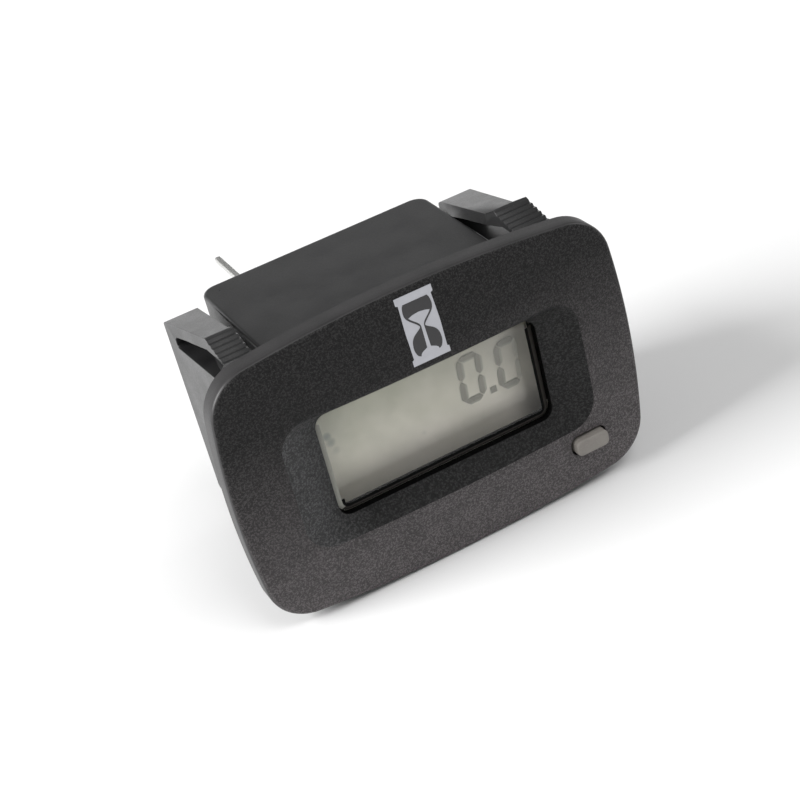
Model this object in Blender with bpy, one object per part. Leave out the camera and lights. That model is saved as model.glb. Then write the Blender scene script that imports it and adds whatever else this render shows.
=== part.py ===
"""Snap-in LCD hour meter: crowned bezel, boxed housing with serrated side wings, display and electronics.

The front looks along -Y and +Z is up. The origin is the centre of the panel cut-out, on the panel's
front face, which the back of the bezel's rim touches. Lengths are in metres.
"""

import math

import bmesh
import bpy
from mathutils import Matrix, Vector

MM = 0.001

# Clearances
SEAT_GAP = 0.3 * MM
FILM_GAP = 0.2 * MM

# Panel cut-out that the clips are made for
CUTOUT_WIDTH = 36.8 * MM
CUTOUT_HEIGHT = 24.1 * MM
CUTOUT_PLAY = 0.1 * MM

# Bezel, and how far it reaches past the cut-out
BEZEL_SIDE_LAP = 4.1 * MM
BEZEL_TOP_LAP = 3.4 * MM
BEZEL_CORNER = 5.0 * MM
BEZEL_SIDE_BULGE = 1.46 * MM
BEZEL_TOP_BULGE = 1.73 * MM
BEZEL_RIM = 2.25 * MM
BEZEL_CROWN = 1.5 * MM
BEZEL_EDGE_ROUND = 0.4 * MM
BEZEL_BACK_STEP = 0.15 * MM
BEZEL_FRONT_RINGS = 5

# Window in the bezel, and the funnel around it
WINDOW_Z = 0.27 * MM
WINDOW_CORNER = 1.3 * MM
WINDOW_LIP = 0.8 * MM
WINDOW_SEAT_DEPTH = 0.8 * MM
FUNNEL_SIDE = 4.1 * MM
FUNNEL_BELOW = 2.0 * MM
FUNNEL_ABOVE = 0.9 * MM
FUNNEL_CORNER = 3.0 * MM
FUNNEL_EDGE_ROUND = 0.35 * MM

# Lens
LENS_PAD_GAP = 0.3 * MM
LENS_FLANGE_LAP = 0.95 * MM
LENS_FLANGE = 0.9 * MM
LENS_PAD_HEIGHT = 0.65 * MM
LENS_BEVEL = 0.35 * MM

# Liquid crystal display: margins hidden behind the bezel, contact ledges, glasses and films
LCD_SIDE_MARGIN = 0.6 * MM
LCD_TOP_MARGIN = 0.175 * MM
LCD_LEDGE = 2.1 * MM
LCD_GLASS = 0.7 * MM
LCD_FILM = 0.2 * MM
LCD_FILM_INSET = 0.3 * MM
ZEBRA_THICKNESS = 0.8 * MM
ZEBRA_EDGE = 0.3 * MM
ZEBRA_END_GAP = 1.0 * MM
HOLDER_SIDE_WALL = 0.7 * MM
HOLDER_TOP_WALL = 0.6 * MM
HOLDER_BACK_SPACE = 3.5 * MM
HOLDER_EAR_WIDTH = 2.9 * MM
HOLDER_EAR_HEIGHT = 3.6 * MM
HOLDER_EAR_THICKNESS = 3.0 * MM
HOLDER_EAR_Z = 3.0 * MM

# Circuit board and its screws
BOARD_THICKNESS = 1.0 * MM
BOARD_CORNER = 0.8 * MM
SCREW_RADIUS = 0.8 * MM
SCREW_HEAD_RADIUS = 1.5 * MM
SCREW_HEAD_HEIGHT = 1.1 * MM
SCREW_LENGTH = 3.6 * MM
SCREW_RECESS = 0.5 * MM

# Housing box, its clearances in the cut-out and to the wings, and the walls round its front mouth
BOX_PLAY = 0.65 * MM
BOX_WING_GAP = 1.1 * MM
BOX_DEPTH = 22.5 * MM
BOX_BACK_CORNER = 1.7 * MM
BOX_EDGE_BEVEL = 0.3 * MM
BOX_WALL = 1.3 * MM
MOUTH_TOP_WALL = 1.93 * MM
MOUTH_SIDE_WALL = 1.2 * MM
FRONT_STOCK = 1.0 * MM
TONGUE_WIDTH = 20.0 * MM
TONGUE_LENGTH = 2.4 * MM
TONGUE_THICKNESS = 0.7 * MM

# Side wings and their snap arms, as seen from the side
WING_THICKNESS = 3.8 * MM
WING_BACK_INSET = 1.5 * MM
WING_BACK_PLAY = 1.45 * MM
WING_BACK_CORNER = 0.6 * MM
ARM_PEAK_Y = 6.8 * MM
ARM_PEAK_BITE = 2.15 * MM
ARM_TIP_Y = 0.9 * MM
ARM_TIP_BITE = 0.7 * MM
ARM_ROOT_THICKNESS = 1.65 * MM
ARM_PEAK_THICKNESS = 1.45 * MM
ARM_TIP_THICKNESS = 0.6 * MM
TOOTH_PITCH = 0.78 * MM
TOOTH_DEPTH = 0.24 * MM
ARM_ROOT_LENGTH = 3.4 * MM
SLOT_FRONT_DROP = 1.15 * MM
SLOT_ROOT_ROUND = 1.6 * MM
WING_BLOCK_WALL = 3.0 * MM
WING_BLOCK_STEP = 0.15 * MM
WING_WEB_HEIGHT = 12.0 * MM

# Back cover and terminal pins
COVER_THICKNESS = 1.3 * MM
COVER_LEDGE = 0.4 * MM
COVER_BOSS_WALL = 0.8 * MM
COVER_BOSS_HEIGHT = 0.9 * MM
PIN_WIDTH = 0.7 * MM
PIN_SIDE_INSET = 4.8 * MM
PIN_TOP_INSET = 2.1 * MM
PIN_PITCH = 5.08 * MM
PIN_NAMES = ("upper", "middle", "lower")
PIN_REACH = 12.6 * MM
PIN_TIP_TAPER = 0.5 * MM
PIN_COLLAR = 0.4 * MM
PIN_COLLAR_LENGTH = 1.2 * MM

# Reset button and its switch
BUTTON_SIDE_INSET = 7.4 * MM
BUTTON_FUNNEL_GAP = 0.695 * MM
BUTTON_WIDTH = 3.8 * MM
BUTTON_HEIGHT = 1.8 * MM
BUTTON_PROUD = 0.9 * MM
BUTTON_EDGE_BEVEL = 0.2 * MM
BUTTON_HOLE_GAP = 0.3 * MM
BUTTON_FLANGE_LAP = 0.6 * MM
BUTTON_FLANGE = 0.6 * MM
BUTTON_FRONT_WALL = 1.0 * MM
STEM_WIDTH = 1.4 * MM
STEM_HEIGHT = 1.4 * MM
SWITCH_WIDTH = 2.6 * MM
SWITCH_HEIGHT = 3.2 * MM
SWITCH_DEPTH = 1.7 * MM
PLUNGER_RADIUS = 0.6 * MM
PLUNGER_PROUD = 0.7 * MM
PLUNGER_DEPTH = 0.6 * MM
PLUNGER_TRAVEL = 0.25 * MM

# Electronic parts
LEAD_RADIUS = 0.3 * MM
LEAD_DEPTH = 0.7 * MM
PARTS_SIDE_GAP = 0.8 * MM
CAPACITOR_RADIUS = 3.15 * MM
CAPACITOR_BACK_GAP = 2.2 * MM
CAPACITOR_LEAD_PITCH = 2.5 * MM
RESISTOR_RADIUS = 1.2 * MM
RESISTOR_LENGTH = 6.4 * MM
DIODE_RADIUS = 1.3 * MM
DIODE_LENGTH = 5.2 * MM
AXIAL_LEAD_SPAN = 8.4 * MM
SUPPRESSOR_RADIUS = 3.5 * MM
SUPPRESSOR_THICKNESS = 2.2 * MM
SUPPRESSOR_LEAD_PITCH = 5.0 * MM
CRYSTAL_RADIUS = 1.05 * MM
CRYSTAL_LENGTH = 6.0 * MM
CRYSTAL_LEAD_PITCH = 1.2 * MM
CRYSTAL_LEAD_RUN = 1.0 * MM
CHIP_LEAD = 0.35 * MM
CHIP_STANDOFF = 0.15 * MM
CONTROLLER_SIZE = (5.6 * MM, 1.4 * MM, 5.6 * MM)
CONTROLLER_LEAD_COUNT = 6
CONTROLLER_PITCH = 0.8 * MM
MEMORY_SIZE = (3.9 * MM, 1.3 * MM, 4.9 * MM)
MEMORY_LEAD_COUNT = 4
MEMORY_PITCH = 1.27 * MM
CHIP_CAPACITOR_SIZE = (2.0 * MM, 0.9 * MM, 1.25 * MM)
CHIP_CAPACITOR_CAP = 0.45 * MM
CHIP_CAPACITOR_COUNT = 3

# How finely round forms are divided
SIDE_STEPS = 4
CORNER_STEPS = 7
TOP_STEPS = 5
ROUND_SIDES = 20
LEAD_SIDES = 8

# Places that follow from the sizes above, front to back
WINDOW_EDGE_Y = -(WINDOW_SEAT_DEPTH + WINDOW_LIP)
LENS_FRONT_Y = -WINDOW_SEAT_DEPTH + SEAT_GAP
LENS_BACK_Y = LENS_FRONT_Y + LENS_FLANGE
POLARISER_Y = LENS_BACK_Y + SEAT_GAP
FRONT_GLASS_Y = POLARISER_Y + LCD_FILM + FILM_GAP
REAR_GLASS_Y = FRONT_GLASS_Y + LCD_GLASS + FILM_GAP
REFLECTOR_Y = REAR_GLASS_Y + LCD_GLASS + FILM_GAP
HOLDER_LEDGE_Y = FRONT_GLASS_Y + LCD_GLASS + SEAT_GAP
HOLDER_BACK_Y = REFLECTOR_Y + LCD_FILM + HOLDER_BACK_SPACE
BOARD_FRONT_Y = HOLDER_BACK_Y + SEAT_GAP
BOARD_BACK_Y = BOARD_FRONT_Y + BOARD_THICKNESS
SHOULDER_Y = BOARD_BACK_Y + SEAT_GAP
HOUSING_FRONT_Y = SEAT_GAP
COVER_BACK_Y = BOX_DEPTH - SEAT_GAP
COVER_FRONT_Y = COVER_BACK_Y - COVER_THICKNESS
COVER_LEDGE_Y = COVER_FRONT_Y - SEAT_GAP
WING_BACK_Y = BOX_DEPTH - WING_BACK_INSET
SLOT_TIP_Y = WING_BACK_Y - ARM_ROOT_LENGTH
WING_BLOCK_BACK_Y = SHOULDER_Y + WING_BLOCK_WALL

# Housing and bezel, which the cut-out sets
HALF_WIDTH = CUTOUT_WIDTH / 2 + BEZEL_SIDE_LAP
HALF_HEIGHT = CUTOUT_HEIGHT / 2 + BEZEL_TOP_LAP
WING_OUTER_X = CUTOUT_WIDTH / 2 - CUTOUT_PLAY
WING_INNER_X = WING_OUTER_X - WING_THICKNESS
WING_BACK_HALF = CUTOUT_HEIGHT / 2 - WING_BACK_PLAY
BOX_WIDTH = 2 * (WING_INNER_X - BOX_WING_GAP)
BOX_HEIGHT = CUTOUT_HEIGHT - 2 * BOX_PLAY
CAVITY_HALF_WIDTH = BOX_WIDTH / 2 - BOX_WALL
CAVITY_HALF_HEIGHT = BOX_HEIGHT / 2 - BOX_WALL

# What fills the housing's mouth: board, holder, display and window, as sizes about the window's height
MOUTH_HALF_WIDTH = WING_OUTER_X - MOUTH_SIDE_WALL
MOUTH_HALF_HEIGHT = BOX_HEIGHT / 2 - MOUTH_TOP_WALL - WINDOW_Z
BOARD_HALF_WIDTH = MOUTH_HALF_WIDTH - SEAT_GAP
HOLDER_HALF_WIDTH = BOARD_HALF_WIDTH - HOLDER_EAR_WIDTH
HOLDER_HALF_HEIGHT = MOUTH_HALF_HEIGHT - SEAT_GAP
LCD_WIDTH = 2 * (HOLDER_HALF_WIDTH - HOLDER_SIDE_WALL - SEAT_GAP)
LCD_FRONT_HEIGHT = 2 * (HOLDER_HALF_HEIGHT - HOLDER_TOP_WALL - SEAT_GAP)
LCD_REAR_HEIGHT = LCD_FRONT_HEIGHT - 2 * LCD_LEDGE
WINDOW_WIDTH = LCD_WIDTH - 2 * LCD_SIDE_MARGIN
WINDOW_HEIGHT = LCD_REAR_HEIGHT - 2 * LCD_TOP_MARGIN
ZEBRA_OFFSET = LCD_FRONT_HEIGHT / 2 - ZEBRA_EDGE - ZEBRA_THICKNESS / 2
EAR_X = HOLDER_HALF_WIDTH + HOLDER_EAR_WIDTH / 2
TONGUE_OFFSET = MOUTH_HALF_HEIGHT + WINDOW_Z + SEAT_GAP + TONGUE_THICKNESS / 2

# Button column
BUTTON_X = HALF_WIDTH - BUTTON_SIDE_INSET
FUNNEL_BOTTOM_Z = WINDOW_Z - WINDOW_HEIGHT / 2 - FUNNEL_BELOW - FUNNEL_EDGE_ROUND
BUTTON_Z = FUNNEL_BOTTOM_Z - BUTTON_FUNNEL_GAP - BUTTON_HOLE_GAP - BUTTON_HEIGHT / 2
BUTTON_FLANGE_WIDTH = BUTTON_WIDTH + 2 * BUTTON_FLANGE_LAP
BUTTON_FLANGE_HEIGHT = BUTTON_HEIGHT + 2 * BUTTON_FLANGE_LAP
SWITCH_X = (HOLDER_HALF_WIDTH + MOUTH_HALF_WIDTH) / 2
SWITCH_Z = WINDOW_Z - MOUTH_HALF_HEIGHT + SEAT_GAP + SWITCH_HEIGHT / 2
SWITCH_BACK_Y = BOARD_FRONT_Y - SEAT_GAP
SWITCH_FRONT_Y = SWITCH_BACK_Y - SWITCH_DEPTH
PLUNGER_TIP_Y = SWITCH_FRONT_Y - PLUNGER_PROUD
STEM_TIP_Y = PLUNGER_TIP_Y - SEAT_GAP

# Columns of parts behind the board: pins, then crystal over suppressor, then capacitor, diode and resistors
PIN_X = PIN_SIDE_INSET - CAVITY_HALF_WIDTH
PIN_TOP_Z = CAVITY_HALF_HEIGHT - PIN_TOP_INSET
PARTS_X = CAVITY_HALF_WIDTH - PARTS_SIDE_GAP - LEAD_RADIUS - AXIAL_LEAD_SPAN / 2
MIDDLE_X = (PIN_X + PARTS_X - AXIAL_LEAD_SPAN / 2) / 2


def make_material(name, colour, roughness, metallic=0.0, transmission=0.0):
    """Makes a plain Principled material."""
    material = bpy.data.materials.new(name)
    material.use_nodes = True
    shader = material.node_tree.nodes["Principled BSDF"]
    shader.inputs["Base Color"].default_value = (*colour, 1.0)
    shader.inputs["Roughness"].default_value = roughness
    shader.inputs["Metallic"].default_value = metallic
    shader.inputs["Transmission Weight"].default_value = transmission
    return material


def make_materials():
    """Makes the finishes that the sub-parts share."""
    return {
        "bezel_plastic": make_material("bezel_plastic", (0.035, 0.033, 0.034), 0.55),
        "case_plastic": make_material("case_plastic", (0.045, 0.045, 0.045), 0.45),
        "lens_clear": make_material("lens_clear", (0.95, 0.97, 0.95), 0.05, transmission=0.9),
        "display_glass": make_material("display_glass", (0.75, 0.8, 0.74), 0.05, transmission=0.8),
        "display_film": make_material("display_film", (0.42, 0.43, 0.38), 0.4),
        "holder_plastic": make_material("holder_plastic", (0.7, 0.7, 0.68), 0.5),
        "zebra_rubber": make_material("zebra_rubber", (0.5, 0.28, 0.27), 0.8),
        "board_laminate": make_material("board_laminate", (0.04, 0.2, 0.07), 0.45),
        "chip_resin": make_material("chip_resin", (0.02, 0.02, 0.02), 0.5),
        "tinned_metal": make_material("tinned_metal", (0.7, 0.7, 0.7), 0.3, 1.0),
        "can_aluminium": make_material("can_aluminium", (0.6, 0.6, 0.62), 0.35, 1.0),
        "resistor_coat": make_material("resistor_coat", (0.5, 0.42, 0.3), 0.6),
        "suppressor_coat": make_material("suppressor_coat", (0.06, 0.14, 0.4), 0.5),
        "chip_ceramic": make_material("chip_ceramic", (0.5, 0.4, 0.3), 0.5),
        "switch_resin": make_material("switch_resin", (0.05, 0.05, 0.05), 0.5),
        "button_plastic": make_material("button_plastic", (0.3, 0.28, 0.26), 0.6),
    }


def link_mesh(name, bm, material=None, location=(0, 0, 0), smooth=False):
    """Turns a bmesh into an object whose faces point out."""
    bmesh.ops.recalc_face_normals(bm, faces=bm.faces)
    mesh = bpy.data.meshes.new(name)
    bm.to_mesh(mesh)
    bm.free()
    if material is not None:
        mesh.materials.append(material)
    if smooth:
        mesh.shade_smooth()
        mesh.set_sharp_from_angle(angle=math.radians(35))
    part = bpy.data.objects.new(name, mesh)
    part.location = location
    bpy.context.scene.collection.objects.link(part)
    return part


def join_by_boolean(part, tool, operation):
    """Adds or cuts a hidden tool object, in world place, on a part."""
    tool.hide_render = True
    tool.display_type = "WIRE"
    modifier = part.modifiers.new(operation.lower() + "_" + tool.name, "BOOLEAN")
    modifier.operation = operation
    modifier.object = tool


def cut(part, tool):
    """Takes the tool's shape out of the part."""
    join_by_boolean(part, tool, "DIFFERENCE")


def fuse(part, tool):
    """Moulds the tool's shape onto the part."""
    join_by_boolean(part, tool, "UNION")


def bevel_edges(part, width, segments=2):
    """Rounds the edges of a part with a modifier."""
    modifier = part.modifiers.new("edge_round", "BEVEL")
    modifier.width = width
    modifier.segments = segments
    modifier.limit_method = "ANGLE"
    modifier.angle_limit = math.radians(40)


def arc_points(centre, radius, start, end, steps):
    """Points along an arc, both ends included."""
    angles = [start + (end - start) * i / steps for i in range(steps + 1)]
    return [(centre[0] + radius * math.cos(a), centre[1] + radius * math.sin(a)) for a in angles]


def line_points(start, end, steps):
    """Points along a straight line, both ends included."""
    return [tuple(a + (b - a) * i / steps for a, b in zip(start, end)) for i in range(steps + 1)]


def quarter_outline(half_width, half_height, radius, side_bulge, top_bulge):
    """The upper right quarter of a rounded rectangle whose sides may bow outward."""
    if side_bulge <= 0 or top_bulge <= 0:
        corner = (half_width - radius, half_height - radius)
        side = line_points((half_width, 0.0), (half_width, corner[1]), SIDE_STEPS)
        turn = arc_points(corner, radius, 0.0, math.pi / 2, CORNER_STEPS)
        top = line_points((corner[0], half_height), (0.0, half_height), TOP_STEPS)
        return side[:-1] + turn + top[1:]
    side_radius = (half_height ** 2 + side_bulge ** 2) / (2 * side_bulge)
    top_radius = (half_width ** 2 + top_bulge ** 2) / (2 * top_bulge)
    side_centre = Vector((half_width - side_radius, 0.0))
    top_centre = Vector((0.0, half_height - top_radius))
    # The corner arc touches both bows from inside, so its centre lies where two smaller circles cross
    reach_side = side_radius - radius
    reach_top = top_radius - radius
    between = top_centre - side_centre
    along = (reach_side ** 2 - reach_top ** 2 + between.length_squared) / (2 * between.length)
    across = math.sqrt(max(reach_side ** 2 - along ** 2, 0.0))
    unit = between.normalized()
    crossings = [side_centre + unit * along + Vector((-unit.y, unit.x)) * across * s for s in (-1, 1)]
    corner = max(crossings, key=lambda p: p.x + p.y)
    side_angle = math.atan2(corner.y - side_centre.y, corner.x - side_centre.x)
    top_angle = math.atan2(corner.y - top_centre.y, corner.x - top_centre.x)
    side = arc_points(side_centre, side_radius, 0.0, side_angle, SIDE_STEPS)
    turn = arc_points(corner, radius, side_angle, top_angle, CORNER_STEPS)
    top = arc_points(top_centre, top_radius, top_angle, math.pi / 2, TOP_STEPS)
    return side[:-1] + turn + top[1:]


def rounded_outline(half_width, half_height, radius, centre_z=0.0, side_bulge=0.0, top_bulge=0.0):
    """A whole rounded outline in X and Z, anticlockwise from the middle of the right side."""
    quarter = quarter_outline(half_width, half_height, radius, side_bulge, top_bulge)
    upper = quarter + [(-x, z) for x, z in reversed(quarter[:-1])]
    whole = upper + [(x, -z) for x, z in reversed(upper[1:-1])]
    return [(x, z + centre_z) for x, z in whole]


def inset_outline(outline, centre_z, inset, half_width, half_height):
    """Shrinks an outline toward its centre by the same length at each side."""
    scale_x = (half_width - inset) / half_width
    scale_z = (half_height - inset) / half_height
    return [(x * scale_x, centre_z + (z - centre_z) * scale_z) for x, z in outline]


def loft(rings, closed_loop=False):
    """Skins rings of equal point count, capped at both ends or joined into a loop."""
    bm = bmesh.new()
    loops = [[bm.verts.new(point) for point in ring] for ring in rings]
    pairs = list(zip(loops, loops[1:]))
    if closed_loop:
        pairs.append((loops[-1], loops[0]))
    count = len(loops[0])
    for low, high in pairs:
        for i in range(count):
            j = (i + 1) % count
            bm.faces.new((low[i], low[j], high[j], high[i]))
    if not closed_loop:
        bm.faces.new(loops[0])
        bm.faces.new(loops[-1])
    return bm


def ring_at(outline, y):
    """An outline in X and Z as a ring of points at one depth."""
    return [(x, y, z) for x, z in outline]


def plate(outline, front, back):
    """A flat plate with an outline in X and Z."""
    return loft([ring_at(outline, front), ring_at(outline, back)])


def side_profile(outline, left, right):
    """A solid with an outline in Y and Z that runs along X."""
    return loft([[(left, y, z) for y, z in outline], [(right, y, z) for y, z in outline]])


def box(centre, size):
    """A box by its centre and its size along each axis."""
    bm = bmesh.new()
    bmesh.ops.create_cube(bm, size=1.0)
    bmesh.ops.scale(bm, vec=size, verts=bm.verts)
    bmesh.ops.translate(bm, vec=centre, verts=bm.verts)
    return bm


def span_box(across, deep, up):
    """A box by its two ends along X, Y and Z."""
    ends = (across, deep, up)
    return box([(a + b) / 2 for a, b in ends], [abs(b - a) for a, b in ends])


def about(centre, size):
    """The two ends of a length by its middle."""
    return centre - size / 2, centre + size / 2


def rod(x, z, radius, front, back, sides=LEAD_SIDES):
    """A round rod along Y."""
    turns = [2 * math.pi * i / sides for i in range(sides)]
    outline = [(x + radius * math.cos(a), z + radius * math.sin(a)) for a in turns]
    return plate(outline, front, back)


def turned(stations, axis_x, axis_z, sides=ROUND_SIDES):
    """A solid turned about a line along Y, from (depth, radius) stations."""
    turns = [2 * math.pi * i / sides for i in range(sides)]
    return loft([
        [(axis_x + r * math.cos(a), y, axis_z + r * math.sin(a)) for a in turns]
        for y, r in stations
    ])


def swept(stations, normal, sides=LEAD_SIDES):
    """A round bar along a path in one plane, from (point, radius) stations."""
    points = [Vector(point) for point, _ in stations]
    rings = []
    for i, (_, radius) in enumerate(stations):
        before = next((points[i] - p for p in reversed(points[:i]) if (points[i] - p).length > 1e-9), None)
        after = next((p - points[i] for p in points[i + 1:] if (p - points[i]).length > 1e-9), None)
        along = ((before or after).normalized() + (after or before).normalized()).normalized()
        mitre = along.dot((after or before).normalized())
        across = along.cross(normal).normalized() / mitre
        turns = [2 * math.pi * k / sides for k in range(sides)]
        rings.append([points[i] + across * radius * math.cos(a) + normal * radius * math.sin(a) for a in turns])
    return loft(rings)


def merge(*pieces):
    """Puts several bmeshes into one, as separate closed solids."""
    whole = bmesh.new()
    for piece in pieces:
        mesh = bpy.data.meshes.new("piece")
        piece.to_mesh(mesh)
        piece.free()
        whole.from_mesh(mesh)
        bpy.data.meshes.remove(mesh)
    return whole


def crown_depth(x, z):
    """How far the crowned front stands ahead of the rim at a point."""
    return BEZEL_CROWN * max(1 - (x / HALF_WIDTH) ** 2, 0.0) * max(1 - (z / HALF_HEIGHT) ** 2, 0.0)


def front_ring(outline, sink=0.0):
    """An outline laid on the crowned front face, or a little behind it."""
    return [(x, -(BEZEL_RIM + crown_depth(x, z)) + sink, z) for x, z in outline]


def window_outline(grow=0.0, corner=WINDOW_CORNER):
    """The window's outline, grown by the same length all round."""
    return rounded_outline(WINDOW_WIDTH / 2 + grow, WINDOW_HEIGHT / 2 + grow, corner, WINDOW_Z)


def bezel_rings():
    """The rings of the bezel's section, from the back of its rim round to the lens seat."""
    outer = rounded_outline(HALF_WIDTH, HALF_HEIGHT, BEZEL_CORNER, 0.0, BEZEL_SIDE_BULGE, BEZEL_TOP_BULGE)
    funnel_half_width = WINDOW_WIDTH / 2 + FUNNEL_SIDE
    funnel_half_height = (WINDOW_HEIGHT + FUNNEL_BELOW + FUNNEL_ABOVE) / 2
    funnel_z = WINDOW_Z + (FUNNEL_ABOVE - FUNNEL_BELOW) / 2
    funnel = rounded_outline(funnel_half_width, funnel_half_height, FUNNEL_CORNER, funnel_z)
    rings = [ring_at(outer, 0.0)]
    # Quarter round from the rim's side wall to the front face
    edge_steps = 3
    for i in range(edge_steps + 1):
        angle = math.pi / 2 * i / edge_steps
        inset = BEZEL_EDGE_ROUND * (1 - math.cos(angle))
        sink = BEZEL_EDGE_ROUND * (1 - math.sin(angle))
        rings.append(front_ring(inset_outline(outer, 0.0, inset, HALF_WIDTH, HALF_HEIGHT), sink))
    # Crowned face, from its edge to the funnel's mouth
    face_edge = inset_outline(outer, 0.0, BEZEL_EDGE_ROUND, HALF_WIDTH, HALF_HEIGHT)
    mouth = inset_outline(funnel, funnel_z, -FUNNEL_EDGE_ROUND, funnel_half_width, funnel_half_height)
    for i in range(1, BEZEL_FRONT_RINGS + 1):
        share = i / BEZEL_FRONT_RINGS
        between = [
            tuple(a + (b - a) * share for a, b in zip(edge, inner))
            for edge, inner in zip(face_edge, mouth)
        ]
        rings.append(front_ring(between))
    rings.append(front_ring(funnel, FUNNEL_EDGE_ROUND / 2))
    # Funnel wall, window, and the seat behind it
    rings.append(ring_at(window_outline(), WINDOW_EDGE_Y))
    rings.append(ring_at(window_outline(), -WINDOW_SEAT_DEPTH))
    seat = window_outline(LENS_FLANGE_LAP, WINDOW_CORNER + LENS_FLANGE_LAP)
    rings.append(ring_at(seat, -WINDOW_SEAT_DEPTH))
    rings.append(ring_at(seat, -BEZEL_BACK_STEP))
    # Only the land outside the cut-out touches the panel, so the back is stepped inside it
    land = rounded_outline(CUTOUT_WIDTH / 2, CUTOUT_HEIGHT / 2, BOARD_CORNER)
    rings.append(ring_at(land, -BEZEL_BACK_STEP))
    rings.append(ring_at(land, 0.0))
    return rings


def obround(width, height, x, z, grow=0.0):
    """A bar outline with half-round ends, lying along X."""
    radius = height / 2 + grow
    reach = width / 2 - height / 2
    right = arc_points((x + reach, z), radius, -math.pi / 2, math.pi / 2, CORNER_STEPS)
    left = arc_points((x - reach, z), radius, math.pi / 2, 3 * math.pi / 2, CORNER_STEPS)
    return right + left


def button_surface_y():
    """Depth of the crowned front face at the button's centre."""
    return -(BEZEL_RIM + crown_depth(BUTTON_X, BUTTON_Z))


def button_pocket_y():
    """Depth of the floor that holds the button's flange back."""
    return button_surface_y() + BUTTON_FRONT_WALL


def build_bezel(materials):
    """The front moulding: rim, crowned face, funnel, window and the tongues that enter the housing."""
    bezel = link_mesh("bezel", loft(bezel_rings(), closed_loop=True), materials["bezel_plastic"], smooth=True)
    through = plate(obround(BUTTON_WIDTH, BUTTON_HEIGHT, BUTTON_X, BUTTON_Z, BUTTON_HOLE_GAP),
                    button_surface_y() - BEZEL_RIM, BEZEL_RIM)
    cut(bezel, link_mesh("cutter_button_hole", through))
    pocket = rounded_outline(BUTTON_FLANGE_WIDTH / 2 + BUTTON_HOLE_GAP,
                             BUTTON_FLANGE_HEIGHT / 2 + BUTTON_HOLE_GAP, BUTTON_HOLE_GAP)
    pocket = [(x + BUTTON_X, z + BUTTON_Z) for x, z in pocket]
    cut(bezel, link_mesh("cutter_flange_pocket", plate(pocket, button_pocket_y(), BEZEL_RIM)))
    stem_top = SWITCH_Z + STEM_HEIGHT / 2 + BUTTON_HOLE_GAP
    stem_room = span_box(about(SWITCH_X, STEM_WIDTH + 2 * BUTTON_HOLE_GAP),
                         (button_pocket_y(), BEZEL_RIM), (BUTTON_Z, stem_top))
    cut(bezel, link_mesh("cutter_stem_room", stem_room))
    # The tongues start inside the bezel, so that they fuse with it
    root = -WINDOW_SEAT_DEPTH / 2
    for side, name in ((1, "upper"), (-1, "lower")):
        tongue = span_box(about(0.0, TONGUE_WIDTH), (root, TONGUE_LENGTH),
                          about(side * TONGUE_OFFSET, TONGUE_THICKNESS))
        fuse(bezel, link_mesh("tool_tongue_" + name, tongue))
    return bezel


def build_lens(materials):
    """The clear window: a flange behind the bezel and a bevelled pad that stands in the opening."""
    lap = LENS_FLANGE_LAP - SEAT_GAP
    flange = window_outline(lap, WINDOW_CORNER + lap)
    pad = window_outline(-LENS_PAD_GAP, WINDOW_CORNER - LENS_PAD_GAP)
    top = window_outline(-LENS_PAD_GAP - LENS_BEVEL, WINDOW_CORNER - LENS_PAD_GAP)
    pad_y = LENS_FRONT_Y - LENS_PAD_HEIGHT
    rings = [
        ring_at(flange, LENS_BACK_Y),
        ring_at(flange, LENS_FRONT_Y),
        ring_at(pad, LENS_FRONT_Y),
        ring_at(pad, pad_y + LENS_BEVEL / 2),
        ring_at(top, pad_y),
    ]
    return link_mesh("lens", loft(rings), materials["lens_clear"])


def display_sheet(name, height, inset, front, thickness, material):
    """One glass or film of the display."""
    size = (LCD_WIDTH - 2 * inset, thickness, height - 2 * inset)
    return link_mesh(name, box((0, 0, 0), size), material, (0.0, front + thickness / 2, WINDOW_Z))


def build_display(materials):
    """The liquid crystal cell: polariser, two glasses and the reflector behind them."""
    glass = materials["display_glass"]
    film = materials["display_film"]
    return [
        display_sheet("lcd_front_polariser", LCD_REAR_HEIGHT, LCD_FILM_INSET, POLARISER_Y, LCD_FILM, glass),
        display_sheet("lcd_front_glass", LCD_FRONT_HEIGHT, 0.0, FRONT_GLASS_Y, LCD_GLASS, glass),
        display_sheet("lcd_rear_glass", LCD_REAR_HEIGHT, 0.0, REAR_GLASS_Y, LCD_GLASS, glass),
        display_sheet("lcd_reflector", LCD_REAR_HEIGHT, LCD_FILM_INSET, REFLECTOR_Y, LCD_FILM, film),
    ]


def build_zebra_strips(materials):
    """The two rubber connectors between the front glass's ledges and the board."""
    front = HOLDER_LEDGE_Y
    back = BOARD_FRONT_Y - SEAT_GAP
    length = LCD_WIDTH - 2 * ZEBRA_END_GAP
    strips = []
    for side, name in ((1, "upper"), (-1, "lower")):
        strip = box((0, 0, 0), (length, back - front, ZEBRA_THICKNESS))
        place = (0.0, (front + back) / 2, WINDOW_Z + side * ZEBRA_OFFSET)
        strips.append(link_mesh("zebra_strip_" + name, strip, materials["zebra_rubber"], place))
    return strips


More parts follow.
